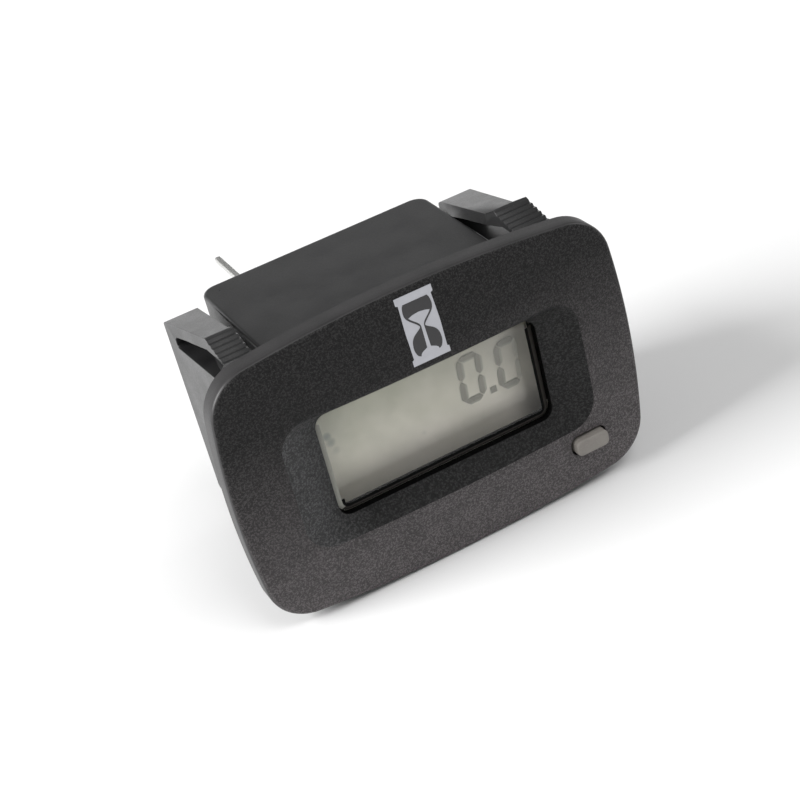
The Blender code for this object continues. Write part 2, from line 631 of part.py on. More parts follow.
def build_holder(materials):
    """The frame that carries the display and clamps it to the board with two eared screws."""
    front = POLARISER_Y
    outline = rounded_outline(HOLDER_HALF_WIDTH, HOLDER_HALF_HEIGHT, HOLDER_SIDE_WALL, WINDOW_Z)
    holder = link_mesh("lcd_holder", plate(outline, front, HOLDER_BACK_Y), materials["holder_plastic"])
    for side, name in ((-1, "left"), (1, "right")):
        root = HOLDER_HALF_WIDTH - HOLDER_SIDE_WALL / 2
        ear = span_box((side * root, side * (HOLDER_HALF_WIDTH + HOLDER_EAR_WIDTH)),
                       (HOLDER_BACK_Y - HOLDER_EAR_THICKNESS, HOLDER_BACK_Y),
                       about(HOLDER_EAR_Z, HOLDER_EAR_HEIGHT))
        fuse(holder, link_mesh("tool_ear_" + name, ear))
    pocket_width = LCD_WIDTH + 2 * SEAT_GAP
    through = (front - SEAT_GAP, HOLDER_BACK_Y + SEAT_GAP)
    glass_pocket = span_box(about(0.0, pocket_width), (front - SEAT_GAP, HOLDER_LEDGE_Y),
                            about(WINDOW_Z, LCD_FRONT_HEIGHT + 2 * SEAT_GAP))
    cut(holder, link_mesh("cutter_glass_pocket", glass_pocket))
    middle = span_box(about(0.0, pocket_width), through, about(WINDOW_Z, LCD_REAR_HEIGHT + 2 * SEAT_GAP))
    cut(holder, link_mesh("cutter_display_middle", middle))
    for side, name in ((1, "upper"), (-1, "lower")):
        slot = span_box(about(0.0, pocket_width - 2 * ZEBRA_END_GAP), through,
                        about(WINDOW_Z + side * ZEBRA_OFFSET, ZEBRA_THICKNESS + 2 * FILM_GAP))
        cut(holder, link_mesh("cutter_zebra_slot_" + name, slot))
    holes = merge(*[
        rod(side * EAR_X, HOLDER_EAR_Z, SCREW_RADIUS + SEAT_GAP,
            BOARD_BACK_Y - SCREW_LENGTH - SEAT_GAP, HOLDER_BACK_Y + SEAT_GAP, sides=ROUND_SIDES)
        for side in (-1, 1)
    ])
    cut(holder, link_mesh("cutter_ear_holes", holes))
    return holder


def shared_out(lengths, start, end):
    """The middles of lengths set in a row from start to end, with equal gaps."""
    way = 1 if end > start else -1
    gap = (abs(end - start) - sum(lengths)) / (len(lengths) + 1)
    middles = []
    edge = start
    for length in lengths:
        middles.append(edge + way * (gap + length / 2))
        edge += way * (gap + length)
    return middles


def parts_column():
    """Heights of the capacitor, the diode and the two resistors, top one first."""
    radii = (CAPACITOR_RADIUS, DIODE_RADIUS, RESISTOR_RADIUS, RESISTOR_RADIUS)
    return shared_out([2 * r for r in radii], CAVITY_HALF_HEIGHT, -CAVITY_HALF_HEIGHT)


def middle_column():
    """Heights of the crystal's can, of its leads and of the suppressor."""
    tail = CRYSTAL_LEAD_RUN + LEAD_RADIUS
    crystal, suppressor = shared_out([CRYSTAL_LENGTH + tail, 2 * SUPPRESSOR_RADIUS],
                                     CAVITY_HALF_HEIGHT, -CAVITY_HALF_HEIGHT)
    can = crystal + tail / 2
    return can, can - CRYSTAL_LENGTH / 2 - CRYSTAL_LEAD_RUN, suppressor


def lead_holes():
    """Where leads enter the board, as (x, z) places."""
    capacitor_z, *axial_heights = parts_column()
    _, crystal_lead_z, suppressor_z = middle_column()
    places = []
    for side in (-1, 1):
        places.append((PARTS_X + side * CAPACITOR_LEAD_PITCH / 2, capacitor_z))
        places.append((MIDDLE_X, suppressor_z + side * SUPPRESSOR_LEAD_PITCH / 2))
        places.append((MIDDLE_X + side * CRYSTAL_LEAD_PITCH / 2, crystal_lead_z))
        places += [(PARTS_X + side * AXIAL_LEAD_SPAN / 2, z) for z in axial_heights]
    return places


def pin_places():
    """The terminal pins' names and heights, top one first."""
    return [(name, PIN_TOP_Z - i * PIN_PITCH) for i, name in enumerate(PIN_NAMES)]


def build_board(materials):
    """The circuit board, with holes for the screws, the pins and the parts' leads."""
    outline = rounded_outline(BOARD_HALF_WIDTH, HOLDER_HALF_HEIGHT, BOARD_CORNER, WINDOW_Z)
    board = link_mesh("circuit_board", plate(outline, BOARD_FRONT_Y, BOARD_BACK_Y), materials["board_laminate"])
    front = BOARD_FRONT_Y - SEAT_GAP
    back = BOARD_BACK_Y + SEAT_GAP
    holes = [rod(x, z, LEAD_RADIUS + SEAT_GAP, front, back) for x, z in lead_holes()]
    holes += [rod(side * EAR_X, HOLDER_EAR_Z, SCREW_RADIUS + SEAT_GAP, front, back, sides=ROUND_SIDES)
              for side in (-1, 1)]
    pin_hole = PIN_WIDTH / 2 * math.sqrt(2) + SEAT_GAP
    holes += [rod(PIN_X, z, pin_hole, front, back, sides=ROUND_SIDES) for _, z in pin_places()]
    cut(board, link_mesh("cutter_board_holes", merge(*holes)))
    return board


def build_screws(materials):
    """The two screws that clamp the board to the display holder."""
    screws = []
    head_y = BOARD_BACK_Y + SEAT_GAP
    for side, name in ((-1, "left"), (1, "right")):
        stations = [
            (BOARD_BACK_Y - SCREW_LENGTH, SCREW_RADIUS * 0.6),
            (BOARD_BACK_Y - SCREW_LENGTH + SCREW_RADIUS * 0.6, SCREW_RADIUS),
            (head_y, SCREW_RADIUS),
            (head_y, SCREW_HEAD_RADIUS),
            (head_y + SCREW_HEAD_HEIGHT * 0.6, SCREW_HEAD_RADIUS),
            (head_y + SCREW_HEAD_HEIGHT, SCREW_HEAD_RADIUS * 0.7),
            (head_y + SCREW_HEAD_HEIGHT, SCREW_HEAD_RADIUS * 0.35),
            (head_y + SCREW_HEAD_HEIGHT - SCREW_RECESS, SCREW_HEAD_RADIUS * 0.2),
        ]
        bm = turned(stations, side * EAR_X, HOLDER_EAR_Z)
        screws.append(link_mesh("board_screw_" + name, bm, materials["tinned_metal"], smooth=True))
    return screws


def arm_top_z(y):
    """Height of the snap arm's serrated face at a depth, before the teeth are cut."""
    tip = CUTOUT_HEIGHT / 2 + ARM_TIP_BITE
    peak = CUTOUT_HEIGHT / 2 + ARM_PEAK_BITE
    return tip + (peak - tip) * (y - ARM_TIP_Y) / (ARM_PEAK_Y - ARM_TIP_Y)


def ramp_z(y):
    """Height of the lead-in ramp at a depth."""
    peak = arm_top_z(ARM_PEAK_Y)
    return peak + (WING_BACK_HALF - peak) * (y - ARM_PEAK_Y) / (WING_BACK_Y - ARM_PEAK_Y)


def slot_floor_z(y):
    """Height of the slot's lower edge at a depth, which rises a little to the front."""
    tip_z = ramp_z(SLOT_TIP_Y) - ARM_ROOT_THICKNESS
    return tip_z + SLOT_FRONT_DROP * (SLOT_TIP_Y - y) / SLOT_TIP_Y


def slot_front_round(stock, step=0.0):
    """The slot's lower edge where it sweeps up to the bezel, with stock ahead of it, front end first."""
    start = HOUSING_FRONT_Y + SLOT_ROOT_ROUND
    centre = (start, slot_floor_z(start) + SLOT_ROOT_ROUND - step)
    quarter = arc_points(centre, SLOT_ROOT_ROUND, math.radians(225), math.radians(270), 4)
    return [(HOUSING_FRONT_Y - stock, quarter[0][1])] + quarter


def teeth_points():
    """The saw teeth that grip the panel, from the arm's tip to its peak, with their steep sides to the bezel."""
    count = int((ARM_PEAK_Y - ARM_TIP_Y) / TOOTH_PITCH)
    points = []
    for i in range(count):
        start = ARM_TIP_Y + i * TOOTH_PITCH
        root = start + TOOTH_PITCH * 0.75
        points.append((start, arm_top_z(start)))
        points.append((root, arm_top_z(root) - TOOTH_DEPTH))
    points.append((ARM_TIP_Y + count * TOOTH_PITCH, arm_top_z(ARM_TIP_Y + count * TOOTH_PITCH)))
    if points[-1][0] < ARM_PEAK_Y - TOOTH_PITCH / 8:
        points.append((ARM_PEAK_Y, arm_top_z(ARM_PEAK_Y)))
    return points


def wing_profile():
    """A wing from the side, in Y and Z: side plate, slots, and a snap arm above and below."""
    slot_tip_z = ramp_z(SLOT_TIP_Y) - ARM_ROOT_THICKNESS
    corner = (WING_BACK_Y - WING_BACK_CORNER, WING_BACK_HALF - WING_BACK_CORNER)
    upper = slot_front_round(FRONT_STOCK * 0.8)
    upper.append((SLOT_TIP_Y, slot_tip_z))
    upper.append((ARM_PEAK_Y + ARM_PEAK_THICKNESS / 2, arm_top_z(ARM_PEAK_Y) - ARM_PEAK_THICKNESS))
    upper.append((ARM_PEAK_Y - ARM_PEAK_THICKNESS, arm_top_z(ARM_PEAK_Y - ARM_PEAK_THICKNESS) - ARM_PEAK_THICKNESS))
    upper.append((ARM_TIP_Y, arm_top_z(ARM_TIP_Y) - ARM_TIP_THICKNESS))
    upper += teeth_points()
    upper += reversed(arc_points(corner, WING_BACK_CORNER, 0.0, math.radians(75), 3))
    return upper + [(y, -z) for y, z in reversed(upper)]


def wing_block_profile():
    """The solid behind a wing's front, from the side, a step below the slot's edge."""
    upper = slot_front_round(FRONT_STOCK * 0.6, WING_BLOCK_STEP)
    upper.append((WING_BLOCK_BACK_Y, slot_floor_z(WING_BLOCK_BACK_Y) - WING_BLOCK_STEP))
    return upper + [(y, -z) for y, z in reversed(upper)]


def housing_box():
    """The housing's box, with upright back edges that are rounded."""
    half = BOX_WIDTH / 2
    right = (half - BOX_BACK_CORNER, BOX_DEPTH - BOX_BACK_CORNER)
    left = (-right[0], right[1])
    outline = [(half, HOUSING_FRONT_Y - FRONT_STOCK)]
    outline += arc_points(right, BOX_BACK_CORNER, 0.0, math.pi / 2, CORNER_STEPS)
    outline += arc_points(left, BOX_BACK_CORNER, math.pi / 2, math.pi, CORNER_STEPS)
    outline.append((-half, HOUSING_FRONT_Y - FRONT_STOCK))
    low, top = -BOX_HEIGHT / 2, BOX_HEIGHT / 2
    inset = BOX_EDGE_BEVEL
    shrunk = [(x * (1 - inset / half), y - inset * (y - HOUSING_FRONT_Y) / BOX_DEPTH) for x, y in outline]
    return loft([
        [(x, y, low) for x, y in shrunk],
        [(x, y, low + inset) for x, y in outline],
        [(x, y, top - inset) for x, y in outline],
        [(x, y, top) for x, y in shrunk],
    ])


def build_housing(materials):
    """The rear moulding: an open box with a serrated snap wing on each side."""
    housing = link_mesh("housing", housing_box(), materials["case_plastic"], smooth=True)
    # The block and web start inside the box's wall and end inside the wing, so that they fuse with both
    root = BOX_WIDTH / 2 - BOX_WALL / 2
    end = WING_INNER_X + WING_THICKNESS / 2
    for side, name in ((-1, "left"), (1, "right")):
        wing = side_profile(wing_profile(), side * WING_INNER_X, side * WING_OUTER_X)
        block = side_profile(wing_block_profile(), side * root, side * end)
        web = span_box((side * root, side * end),
                       (HOUSING_FRONT_Y + BOX_BACK_CORNER, WING_BACK_Y - BOX_BACK_CORNER),
                       about(0.0, WING_WEB_HEIGHT))
        fuse(housing, link_mesh("tool_wing_" + name, wing))
        fuse(housing, link_mesh("tool_block_" + name, block))
        fuse(housing, link_mesh("tool_web_" + name, web))
    # Box, wings and blocks start ahead of the front face by unlike lengths, and one cut trims them flush
    stock = span_box(about(0.0, CUTOUT_WIDTH), (HOUSING_FRONT_Y - 2 * FRONT_STOCK, HOUSING_FRONT_Y),
                     about(0.0, CUTOUT_HEIGHT))
    cut(housing, link_mesh("cutter_front_stock", stock))
    front = HOUSING_FRONT_Y - SEAT_GAP
    mouth = rounded_outline(MOUTH_HALF_WIDTH, MOUTH_HALF_HEIGHT, BOARD_CORNER, WINDOW_Z)
    cut(housing, link_mesh("cutter_mouth", plate(mouth, front, SHOULDER_Y)))
    slots = rounded_outline(TONGUE_WIDTH / 2 + SEAT_GAP, TONGUE_OFFSET + TONGUE_THICKNESS / 2 + SEAT_GAP, SEAT_GAP)
    cut(housing, link_mesh("cutter_tongue_slots", plate(slots, front, TONGUE_LENGTH + SEAT_GAP)))
    cavity = rounded_outline(CAVITY_HALF_WIDTH, CAVITY_HALF_HEIGHT, BOARD_CORNER)
    cut(housing, link_mesh("cutter_cavity", plate(cavity, SHOULDER_Y - SEAT_GAP, BOX_DEPTH + SEAT_GAP)))
    back_mouth = rounded_outline(CAVITY_HALF_WIDTH + COVER_LEDGE, CAVITY_HALF_HEIGHT + COVER_LEDGE, BOARD_CORNER)
    cut(housing, link_mesh("cutter_back_mouth", plate(back_mouth, COVER_LEDGE_Y, BOX_DEPTH + SEAT_GAP)))
    heads = merge(*[
        rod(side * EAR_X, HOLDER_EAR_Z, SCREW_HEAD_RADIUS + SEAT_GAP, SHOULDER_Y - 2 * SEAT_GAP,
            SHOULDER_Y + SCREW_HEAD_HEIGHT + SEAT_GAP, sides=ROUND_SIDES)
        for side in (-1, 1)
    ])
    cut(housing, link_mesh("cutter_screw_heads", heads))
    return housing


def build_back_cover(materials):
    """The plate that closes the housing's back, with a boss round each pin."""
    grow = COVER_LEDGE - SEAT_GAP
    outline = rounded_outline(CAVITY_HALF_WIDTH + grow, CAVITY_HALF_HEIGHT + grow, BOARD_CORNER)
    cover = link_mesh("back_cover", plate(outline, COVER_FRONT_Y, COVER_BACK_Y), materials["case_plastic"],
                      smooth=True)
    pin_hole = PIN_WIDTH / 2 * math.sqrt(2) + SEAT_GAP
    bosses = merge(*[
        turned([(COVER_BACK_Y - COVER_THICKNESS / 2, pin_hole + COVER_BOSS_WALL),
                (COVER_BACK_Y + COVER_BOSS_HEIGHT * 0.7, pin_hole + COVER_BOSS_WALL),
                (COVER_BACK_Y + COVER_BOSS_HEIGHT, pin_hole + COVER_BOSS_WALL * 0.6)], PIN_X, z)
        for _, z in pin_places()
    ])
    fuse(cover, link_mesh("tool_pin_bosses", bosses))
    holes = merge(*[
        rod(PIN_X, z, pin_hole, COVER_FRONT_Y - SEAT_GAP, COVER_BACK_Y + COVER_BOSS_HEIGHT + SEAT_GAP,
            sides=ROUND_SIDES)
        for _, z in pin_places()
    ])
    cut(cover, link_mesh("cutter_pin_holes", holes))
    return cover


def build_pins(materials):
    """The square terminal pins, each with a collar that keeps it behind the cover."""
    pins = []
    start = BOARD_FRONT_Y + (BOARD_THICKNESS - LEAD_DEPTH)
    end = BOX_DEPTH + PIN_REACH
    half = PIN_WIDTH / 2
    collar_end = COVER_FRONT_Y - SEAT_GAP
    stations = [
        (start, half),
        (collar_end - PIN_COLLAR_LENGTH, half),
        (collar_end - PIN_COLLAR_LENGTH, half + PIN_COLLAR),
        (collar_end, half + PIN_COLLAR),
        (collar_end, half),
        (end - PIN_TIP_TAPER, half),
        (end, half * 0.45),
    ]
    for name, z in pin_places():
        rings = [[(sx * r, y, sz * r) for sx, sz in ((1, 1), (-1, 1), (-1, -1), (1, -1))] for y, r in stations]
        pin = link_mesh("terminal_pin_" + name, loft(rings), materials["tinned_metal"], (PIN_X, 0.0, z))
        bevel_edges(pin, PIN_WIDTH * 0.15, segments=1)
        pins.append(pin)
    return pins


def build_button(materials):
    """The reset button: a bar with half-round ends, a flange that retains it and a stem to the switch."""
    face_y = button_surface_y() - BUTTON_PROUD
    flange_y = button_pocket_y() + SEAT_GAP
    flange_back = flange_y + BUTTON_FLANGE
    bar = obround(BUTTON_WIDTH, BUTTON_HEIGHT, 0.0, 0.0)
    face = obround(BUTTON_WIDTH, BUTTON_HEIGHT, 0.0, 0.0, -BUTTON_EDGE_BEVEL)
    rings = [ring_at(face, face_y), ring_at(bar, face_y + BUTTON_EDGE_BEVEL), ring_at(bar, flange_back)]
    button = link_mesh("reset_button", loft(rings), materials["button_plastic"], (BUTTON_X, 0.0, BUTTON_Z), smooth=True)
    flange = span_box(about(BUTTON_X, BUTTON_FLANGE_WIDTH), (flange_y, flange_back),
                      about(BUTTON_Z, BUTTON_FLANGE_HEIGHT))
    fuse(button, link_mesh("tool_button_flange", flange))
    foot = span_box(about(SWITCH_X, STEM_WIDTH), (flange_y, flange_back), (BUTTON_Z, SWITCH_Z + STEM_HEIGHT / 2))
    fuse(button, link_mesh("tool_button_foot", foot))
    stem = span_box(about(SWITCH_X, STEM_WIDTH), (flange_y, STEM_TIP_Y), about(SWITCH_Z, STEM_HEIGHT))
    fuse(button, link_mesh("tool_button_stem", stem))
    return button


def build_switch(materials):
    """The tactile switch on the board: its body, and the plunger that the button pushes."""
    body = link_mesh("switch_body",
                     box((0, 0, 0), (SWITCH_WIDTH, SWITCH_DEPTH, SWITCH_HEIGHT)),
                     materials["switch_resin"],
                     (SWITCH_X, (SWITCH_FRONT_Y + SWITCH_BACK_Y) / 2, SWITCH_Z))
    well_end = SWITCH_FRONT_Y + PLUNGER_DEPTH + PLUNGER_TRAVEL + SEAT_GAP
    well = rod(SWITCH_X, SWITCH_Z, PLUNGER_RADIUS + SEAT_GAP, SWITCH_FRONT_Y - SEAT_GAP, well_end, sides=ROUND_SIDES)
    cut(body, link_mesh("cutter_plunger_well", well))
    stations = [
        (PLUNGER_TIP_Y, PLUNGER_RADIUS * 0.8),
        (PLUNGER_TIP_Y + PLUNGER_RADIUS * 0.2, PLUNGER_RADIUS),
        (SWITCH_FRONT_Y + PLUNGER_DEPTH, PLUNGER_RADIUS),
    ]
    plunger = link_mesh("switch_plunger", turned(stations, 0.0, 0.0), materials["button_plastic"],
                        (SWITCH_X, 0.0, SWITCH_Z), smooth=True)
    return [body, plunger]


def lead_reach():
    """How far a chip's leads stand out from its body."""
    return 3 * CHIP_LEAD


def gull_wing_lead(size, standoff, along):
    """One bent chip lead, from the body's side down to the board, at a place along that side."""
    reach, tall = size[0] / 2, size[1] / 2
    thick = CHIP_LEAD / 2
    foot_y = tall + standoff
    outline = [
        (reach - thick, -thick / 2),
        (reach + 2 * thick, -thick / 2),
        (reach + 3 * thick, foot_y - thick),
        (reach + lead_reach(), foot_y - thick),
        (reach + lead_reach(), foot_y),
        (reach + 2 * thick, foot_y),
        (reach + thick, thick / 2),
        (reach - thick, thick / 2),
    ]
    return loft([[(x, y, along + s * CHIP_LEAD / 2) for x, y in outline] for s in (-1, 1)])


def build_chip(name, size, leads, pitch, all_sides, place, material):
    """A moulded chip with bent leads, on the board's front side."""
    x, z = place
    y = BOARD_FRONT_Y - SEAT_GAP - CHIP_STANDOFF - size[1] / 2
    chip = link_mesh(name, box((0, 0, 0), size), material, (x, y, z))
    comb = []
    for turn in range(4 if all_sides else 2):
        quarter = math.pi / 2 if all_sides else math.pi
        for i in range(leads):
            lead = gull_wing_lead(size, CHIP_STANDOFF, (i - (leads - 1) / 2) * pitch)
            bmesh.ops.rotate(lead, verts=lead.verts, cent=(0, 0, 0), matrix=Matrix.Rotation(quarter * turn, 3, "Y"))
            comb.append(lead)
    fuse(chip, link_mesh("tool_leads_" + name, merge(*comb), location=(x, y, z)))
    return chip


def chip_row():
    """Places along X of the memory chip, the controller and the chip capacitors, behind the display."""
    memory = MEMORY_SIZE[0] + 2 * lead_reach()
    controller = CONTROLLER_SIZE[0] + 2 * lead_reach()
    return shared_out([memory, controller, CHIP_CAPACITOR_SIZE[0]], -LCD_WIDTH / 2, LCD_WIDTH / 2)


def build_chip_capacitors(x, materials):
    """The small ceramic capacitors, each with plated ends, on the board's front side."""
    length, height, width = CHIP_CAPACITOR_SIZE
    waist = height / 2 - CHIP_CAPACITOR_CAP * 0.15
    inner = length / 2 - CHIP_CAPACITOR_CAP
    upper = [(length / 2, height / 2), (inner, height / 2), (inner, waist), (-inner, waist),
             (-inner, height / 2), (-length / 2, height / 2)]
    outline = upper + [(u, -v) for u, v in reversed(upper)]
    room = LCD_REAR_HEIGHT / 2
    parts = []
    for i, z in enumerate(shared_out([width] * CHIP_CAPACITOR_COUNT, room, -room)):
        bm = loft([[(u, v, s * width / 2) for u, v in outline] for s in (-1, 1)])
        place = (x, BOARD_FRONT_Y - SEAT_GAP - height / 2, WINDOW_Z + z)
        parts.append(link_mesh(f"chip_capacitor_{i + 1}", bm, materials["chip_ceramic"], place))
    return parts


def build_axial(name, z, radius, length, material):
    """A part with a lead at each end, both bent down into the board."""
    lead_end = BOARD_FRONT_Y + (BOARD_THICKNESS - LEAD_DEPTH)
    axis_y = BOARD_BACK_Y + SEAT_GAP + radius
    span = AXIAL_LEAD_SPAN / 2
    waist = radius * 0.86
    cap = length * 0.2
    half = length / 2
    stations = [((-span, lead_end, 0), LEAD_RADIUS), ((-span, axis_y, 0), LEAD_RADIUS)]
    profile = [(-half, LEAD_RADIUS), (-half, radius * 0.8), (-half + cap * 0.3, radius), (-half + cap, radius),
               (-half + cap * 1.3, waist)]
    mirrored = [(-u, r) for u, r in reversed(profile)]
    stations += [((u, axis_y, 0), r) for u, r in profile + mirrored]
    stations += [((span, axis_y, 0), LEAD_RADIUS), ((span, lead_end, 0), LEAD_RADIUS)]
    return link_mesh(name, swept(stations, Vector((0, 0, 1)), sides=12), material, (PARTS_X, 0.0, z), smooth=True)


def build_capacitor(z, materials):
    """The input capacitor: a can with a rolled groove and two leads."""
    base = BOARD_BACK_Y + SEAT_GAP
    r = CAPACITOR_RADIUS
    end = COVER_FRONT_Y - CAPACITOR_BACK_GAP
    stations = [(base, r * 0.85), (base, r * 0.95), (base + r * 0.1, r), (base + r * 0.35, r),
                (base + r * 0.5, r * 0.9), (base + r * 0.65, r), (end - r * 0.1, r), (end, r * 0.92),
                (end, r * 0.7)]
    can = link_mesh("input_capacitor", turned(stations, 0.0, 0.0, sides=24), materials["can_aluminium"],
                    (PARTS_X, 0.0, z), smooth=True)
    lead_end = BOARD_FRONT_Y + (BOARD_THICKNESS - LEAD_DEPTH)
    leads = merge(*[
        rod(PARTS_X + s * CAPACITOR_LEAD_PITCH / 2, z, LEAD_RADIUS, lead_end, base + r * 0.2) for s in (-1, 1)
    ])
    fuse(can, link_mesh("tool_capacitor_leads", leads))
    return can


def build_suppressor(z, materials):
    """The surge suppressor: a coated disc on two leads."""
    r = SUPPRESSOR_RADIUS
    centre_y = BOARD_BACK_Y + SEAT_GAP + r
    half = SUPPRESSOR_THICKNESS / 2
    section = [(-half, 0.55), (-half * 0.85, 0.8), (-half * 0.4, 0.97), (half * 0.4, 0.97), (half * 0.85, 0.8),
               (half, 0.55)]
    turns = [2 * math.pi * i / ROUND_SIDES for i in range(ROUND_SIDES)]
    rings = [[(w, r * k * math.cos(a), r * k * math.sin(a)) for a in turns] for w, k in section]
    disc = link_mesh("surge_suppressor", loft(rings), materials["suppressor_coat"], (MIDDLE_X, centre_y, z),
                     smooth=True)
    lead_end = BOARD_FRONT_Y + (BOARD_THICKNESS - LEAD_DEPTH)
    leads = merge(*[
        rod(MIDDLE_X, z + s * SUPPRESSOR_LEAD_PITCH / 2, LEAD_RADIUS, lead_end, centre_y) for s in (-1, 1)
    ])
    fuse(disc, link_mesh("tool_suppressor_leads", leads))
    return disc


def build_crystal(z, lead_z, materials):
    """The timing crystal: a can lying on the board, with two leads bent down at its lower end."""
    axis_y = BOARD_BACK_Y + SEAT_GAP + CRYSTAL_RADIUS
    half = CRYSTAL_LENGTH / 2
    lip = CRYSTAL_RADIUS * 0.15
    stations = [((0, 0, -half), CRYSTAL_RADIUS), ((0, 0, -half + lip * 2), CRYSTAL_RADIUS),
                ((0, 0, -half + lip * 2), CRYSTAL_RADIUS - lip), ((0, 0, half - lip), CRYSTAL_RADIUS - lip),
                ((0, 0, half), CRYSTAL_RADIUS - 2 * lip)]
    can = link_mesh("timing_crystal", swept(stations, Vector((1, 0, 0)), sides=16), materials["can_aluminium"],
                    (MIDDLE_X, axis_y, z), smooth=True)
    lead_end = BOARD_FRONT_Y + (BOARD_THICKNESS - LEAD_DEPTH)
    leads = []
    for side in (-1, 1):
        x = MIDDLE_X + side * CRYSTAL_LEAD_PITCH / 2
        path = [((x, axis_y, z - half + lip), LEAD_RADIUS), ((x, axis_y, lead_z), LEAD_RADIUS),
                ((x, lead_end, lead_z), LEAD_RADIUS)]
        leads.append(swept(path, Vector((1, 0, 0))))
    fuse(can, link_mesh("tool_crystal_leads", merge(*leads)))
    return can


def build_electronics(materials):
    """Everything on the two sides of the circuit board."""
    resin = materials["chip_resin"]
    coat = materials["resistor_coat"]
    memory_x, controller_x, chip_capacitor_x = chip_row()
    capacitor_z, diode_z, upper_z, lower_z = parts_column()
    crystal_z, crystal_lead_z, suppressor_z = middle_column()
    build_chip("microcontroller", CONTROLLER_SIZE, CONTROLLER_LEAD_COUNT, CONTROLLER_PITCH, True,
               (controller_x, WINDOW_Z), resin)
    build_chip("memory_chip", MEMORY_SIZE, MEMORY_LEAD_COUNT, MEMORY_PITCH, False, (memory_x, WINDOW_Z), resin)
    build_chip_capacitors(chip_capacitor_x, materials)
    build_capacitor(capacitor_z, materials)
    build_axial("rectifier_diode", diode_z, DIODE_RADIUS, DIODE_LENGTH, resin)
    build_axial("dropping_resistor_upper", upper_z, RESISTOR_RADIUS, RESISTOR_LENGTH, coat)
    build_axial("dropping_resistor_lower", lower_z, RESISTOR_RADIUS, RESISTOR_LENGTH, coat)
    build_suppressor(suppressor_z, materials)
    build_crystal(crystal_z, crystal_lead_z, materials)


def clear_scene():
    """Removes every object of the open scene."""
    for part in list(bpy.data.objects):
        bpy.data.objects.remove(part, do_unlink=True)


def main():
    """Builds the whole hour meter."""
    clear_scene()
    materials = make_materials()
    build_bezel(materials)
    build_lens(materials)
    build_display(materials)
    build_zebra_strips(materials)
    build_holder(materials)
    build_board(materials)
    build_screws(materials)
    build_housing(materials)
    build_back_cover(materials)
    build_pins(materials)
    build_button(materials)
    build_switch(materials)
    build_electronics(materials)


main()
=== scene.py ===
"""Looks of the snap-in LCD hour meter: fine mouldings, display, print, finishes, studio and camera.

The front looks along -Y, +Z is up, and lengths are in metres unless a name ends in _mm.
"""

import logging
import math
from collections.abc import Callable
from dataclasses import dataclass, field
from enum import Enum

import bmesh
import bpy
from mathutils import Matrix, Vector


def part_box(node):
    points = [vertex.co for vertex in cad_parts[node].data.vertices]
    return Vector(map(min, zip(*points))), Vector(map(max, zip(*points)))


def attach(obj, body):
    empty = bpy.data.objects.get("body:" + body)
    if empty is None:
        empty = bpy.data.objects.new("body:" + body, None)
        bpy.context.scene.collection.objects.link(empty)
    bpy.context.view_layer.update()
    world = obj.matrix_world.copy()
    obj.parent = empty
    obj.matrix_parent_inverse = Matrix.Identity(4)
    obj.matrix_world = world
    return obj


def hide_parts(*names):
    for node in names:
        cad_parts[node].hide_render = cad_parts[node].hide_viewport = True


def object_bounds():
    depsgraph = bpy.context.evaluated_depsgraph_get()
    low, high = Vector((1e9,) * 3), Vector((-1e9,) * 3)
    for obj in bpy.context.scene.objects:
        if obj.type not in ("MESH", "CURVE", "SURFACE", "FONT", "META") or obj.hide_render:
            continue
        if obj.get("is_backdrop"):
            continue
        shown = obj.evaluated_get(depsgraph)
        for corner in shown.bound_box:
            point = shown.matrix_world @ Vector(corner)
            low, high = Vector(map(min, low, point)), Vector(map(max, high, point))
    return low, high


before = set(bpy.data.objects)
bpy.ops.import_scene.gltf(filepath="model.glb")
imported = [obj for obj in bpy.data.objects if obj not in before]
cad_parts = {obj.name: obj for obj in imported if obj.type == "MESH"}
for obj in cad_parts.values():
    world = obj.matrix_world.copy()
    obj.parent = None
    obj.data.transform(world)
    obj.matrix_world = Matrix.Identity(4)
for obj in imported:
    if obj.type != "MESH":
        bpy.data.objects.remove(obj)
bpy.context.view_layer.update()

LOG = logging.getLogger("hour_meter")
MM = 0.001
Colour = tuple[float, float, float]
Outline = list[tuple[float, float]]
Point = tuple[float, float, float]


class Body(Enum):
    """The bodies that the pieces made here ride on."""

    CASE = "case"
    BUTTON = "button"


class Slot(Enum):
    """The record's material slots."""

    BEZEL = "bezel_plastic"
    CASE = "case_plastic"
    LENS = "lens_clear"
    GLASS = "display_glass"
    FILM = "display_film"
    HOLDER = "holder_plastic"
    ZEBRA = "zebra_rubber"
    BOARD = "board_laminate"
    CHIP = "chip_resin"
    TIN = "tinned_metal"
    CAN = "can_aluminium"
    RESISTOR = "resistor_coat"
    SUPPRESSOR = "suppressor_coat"
    CERAMIC = "chip_ceramic"
    SWITCH = "switch_resin"
    BUTTON = "button_plastic"


# Materials


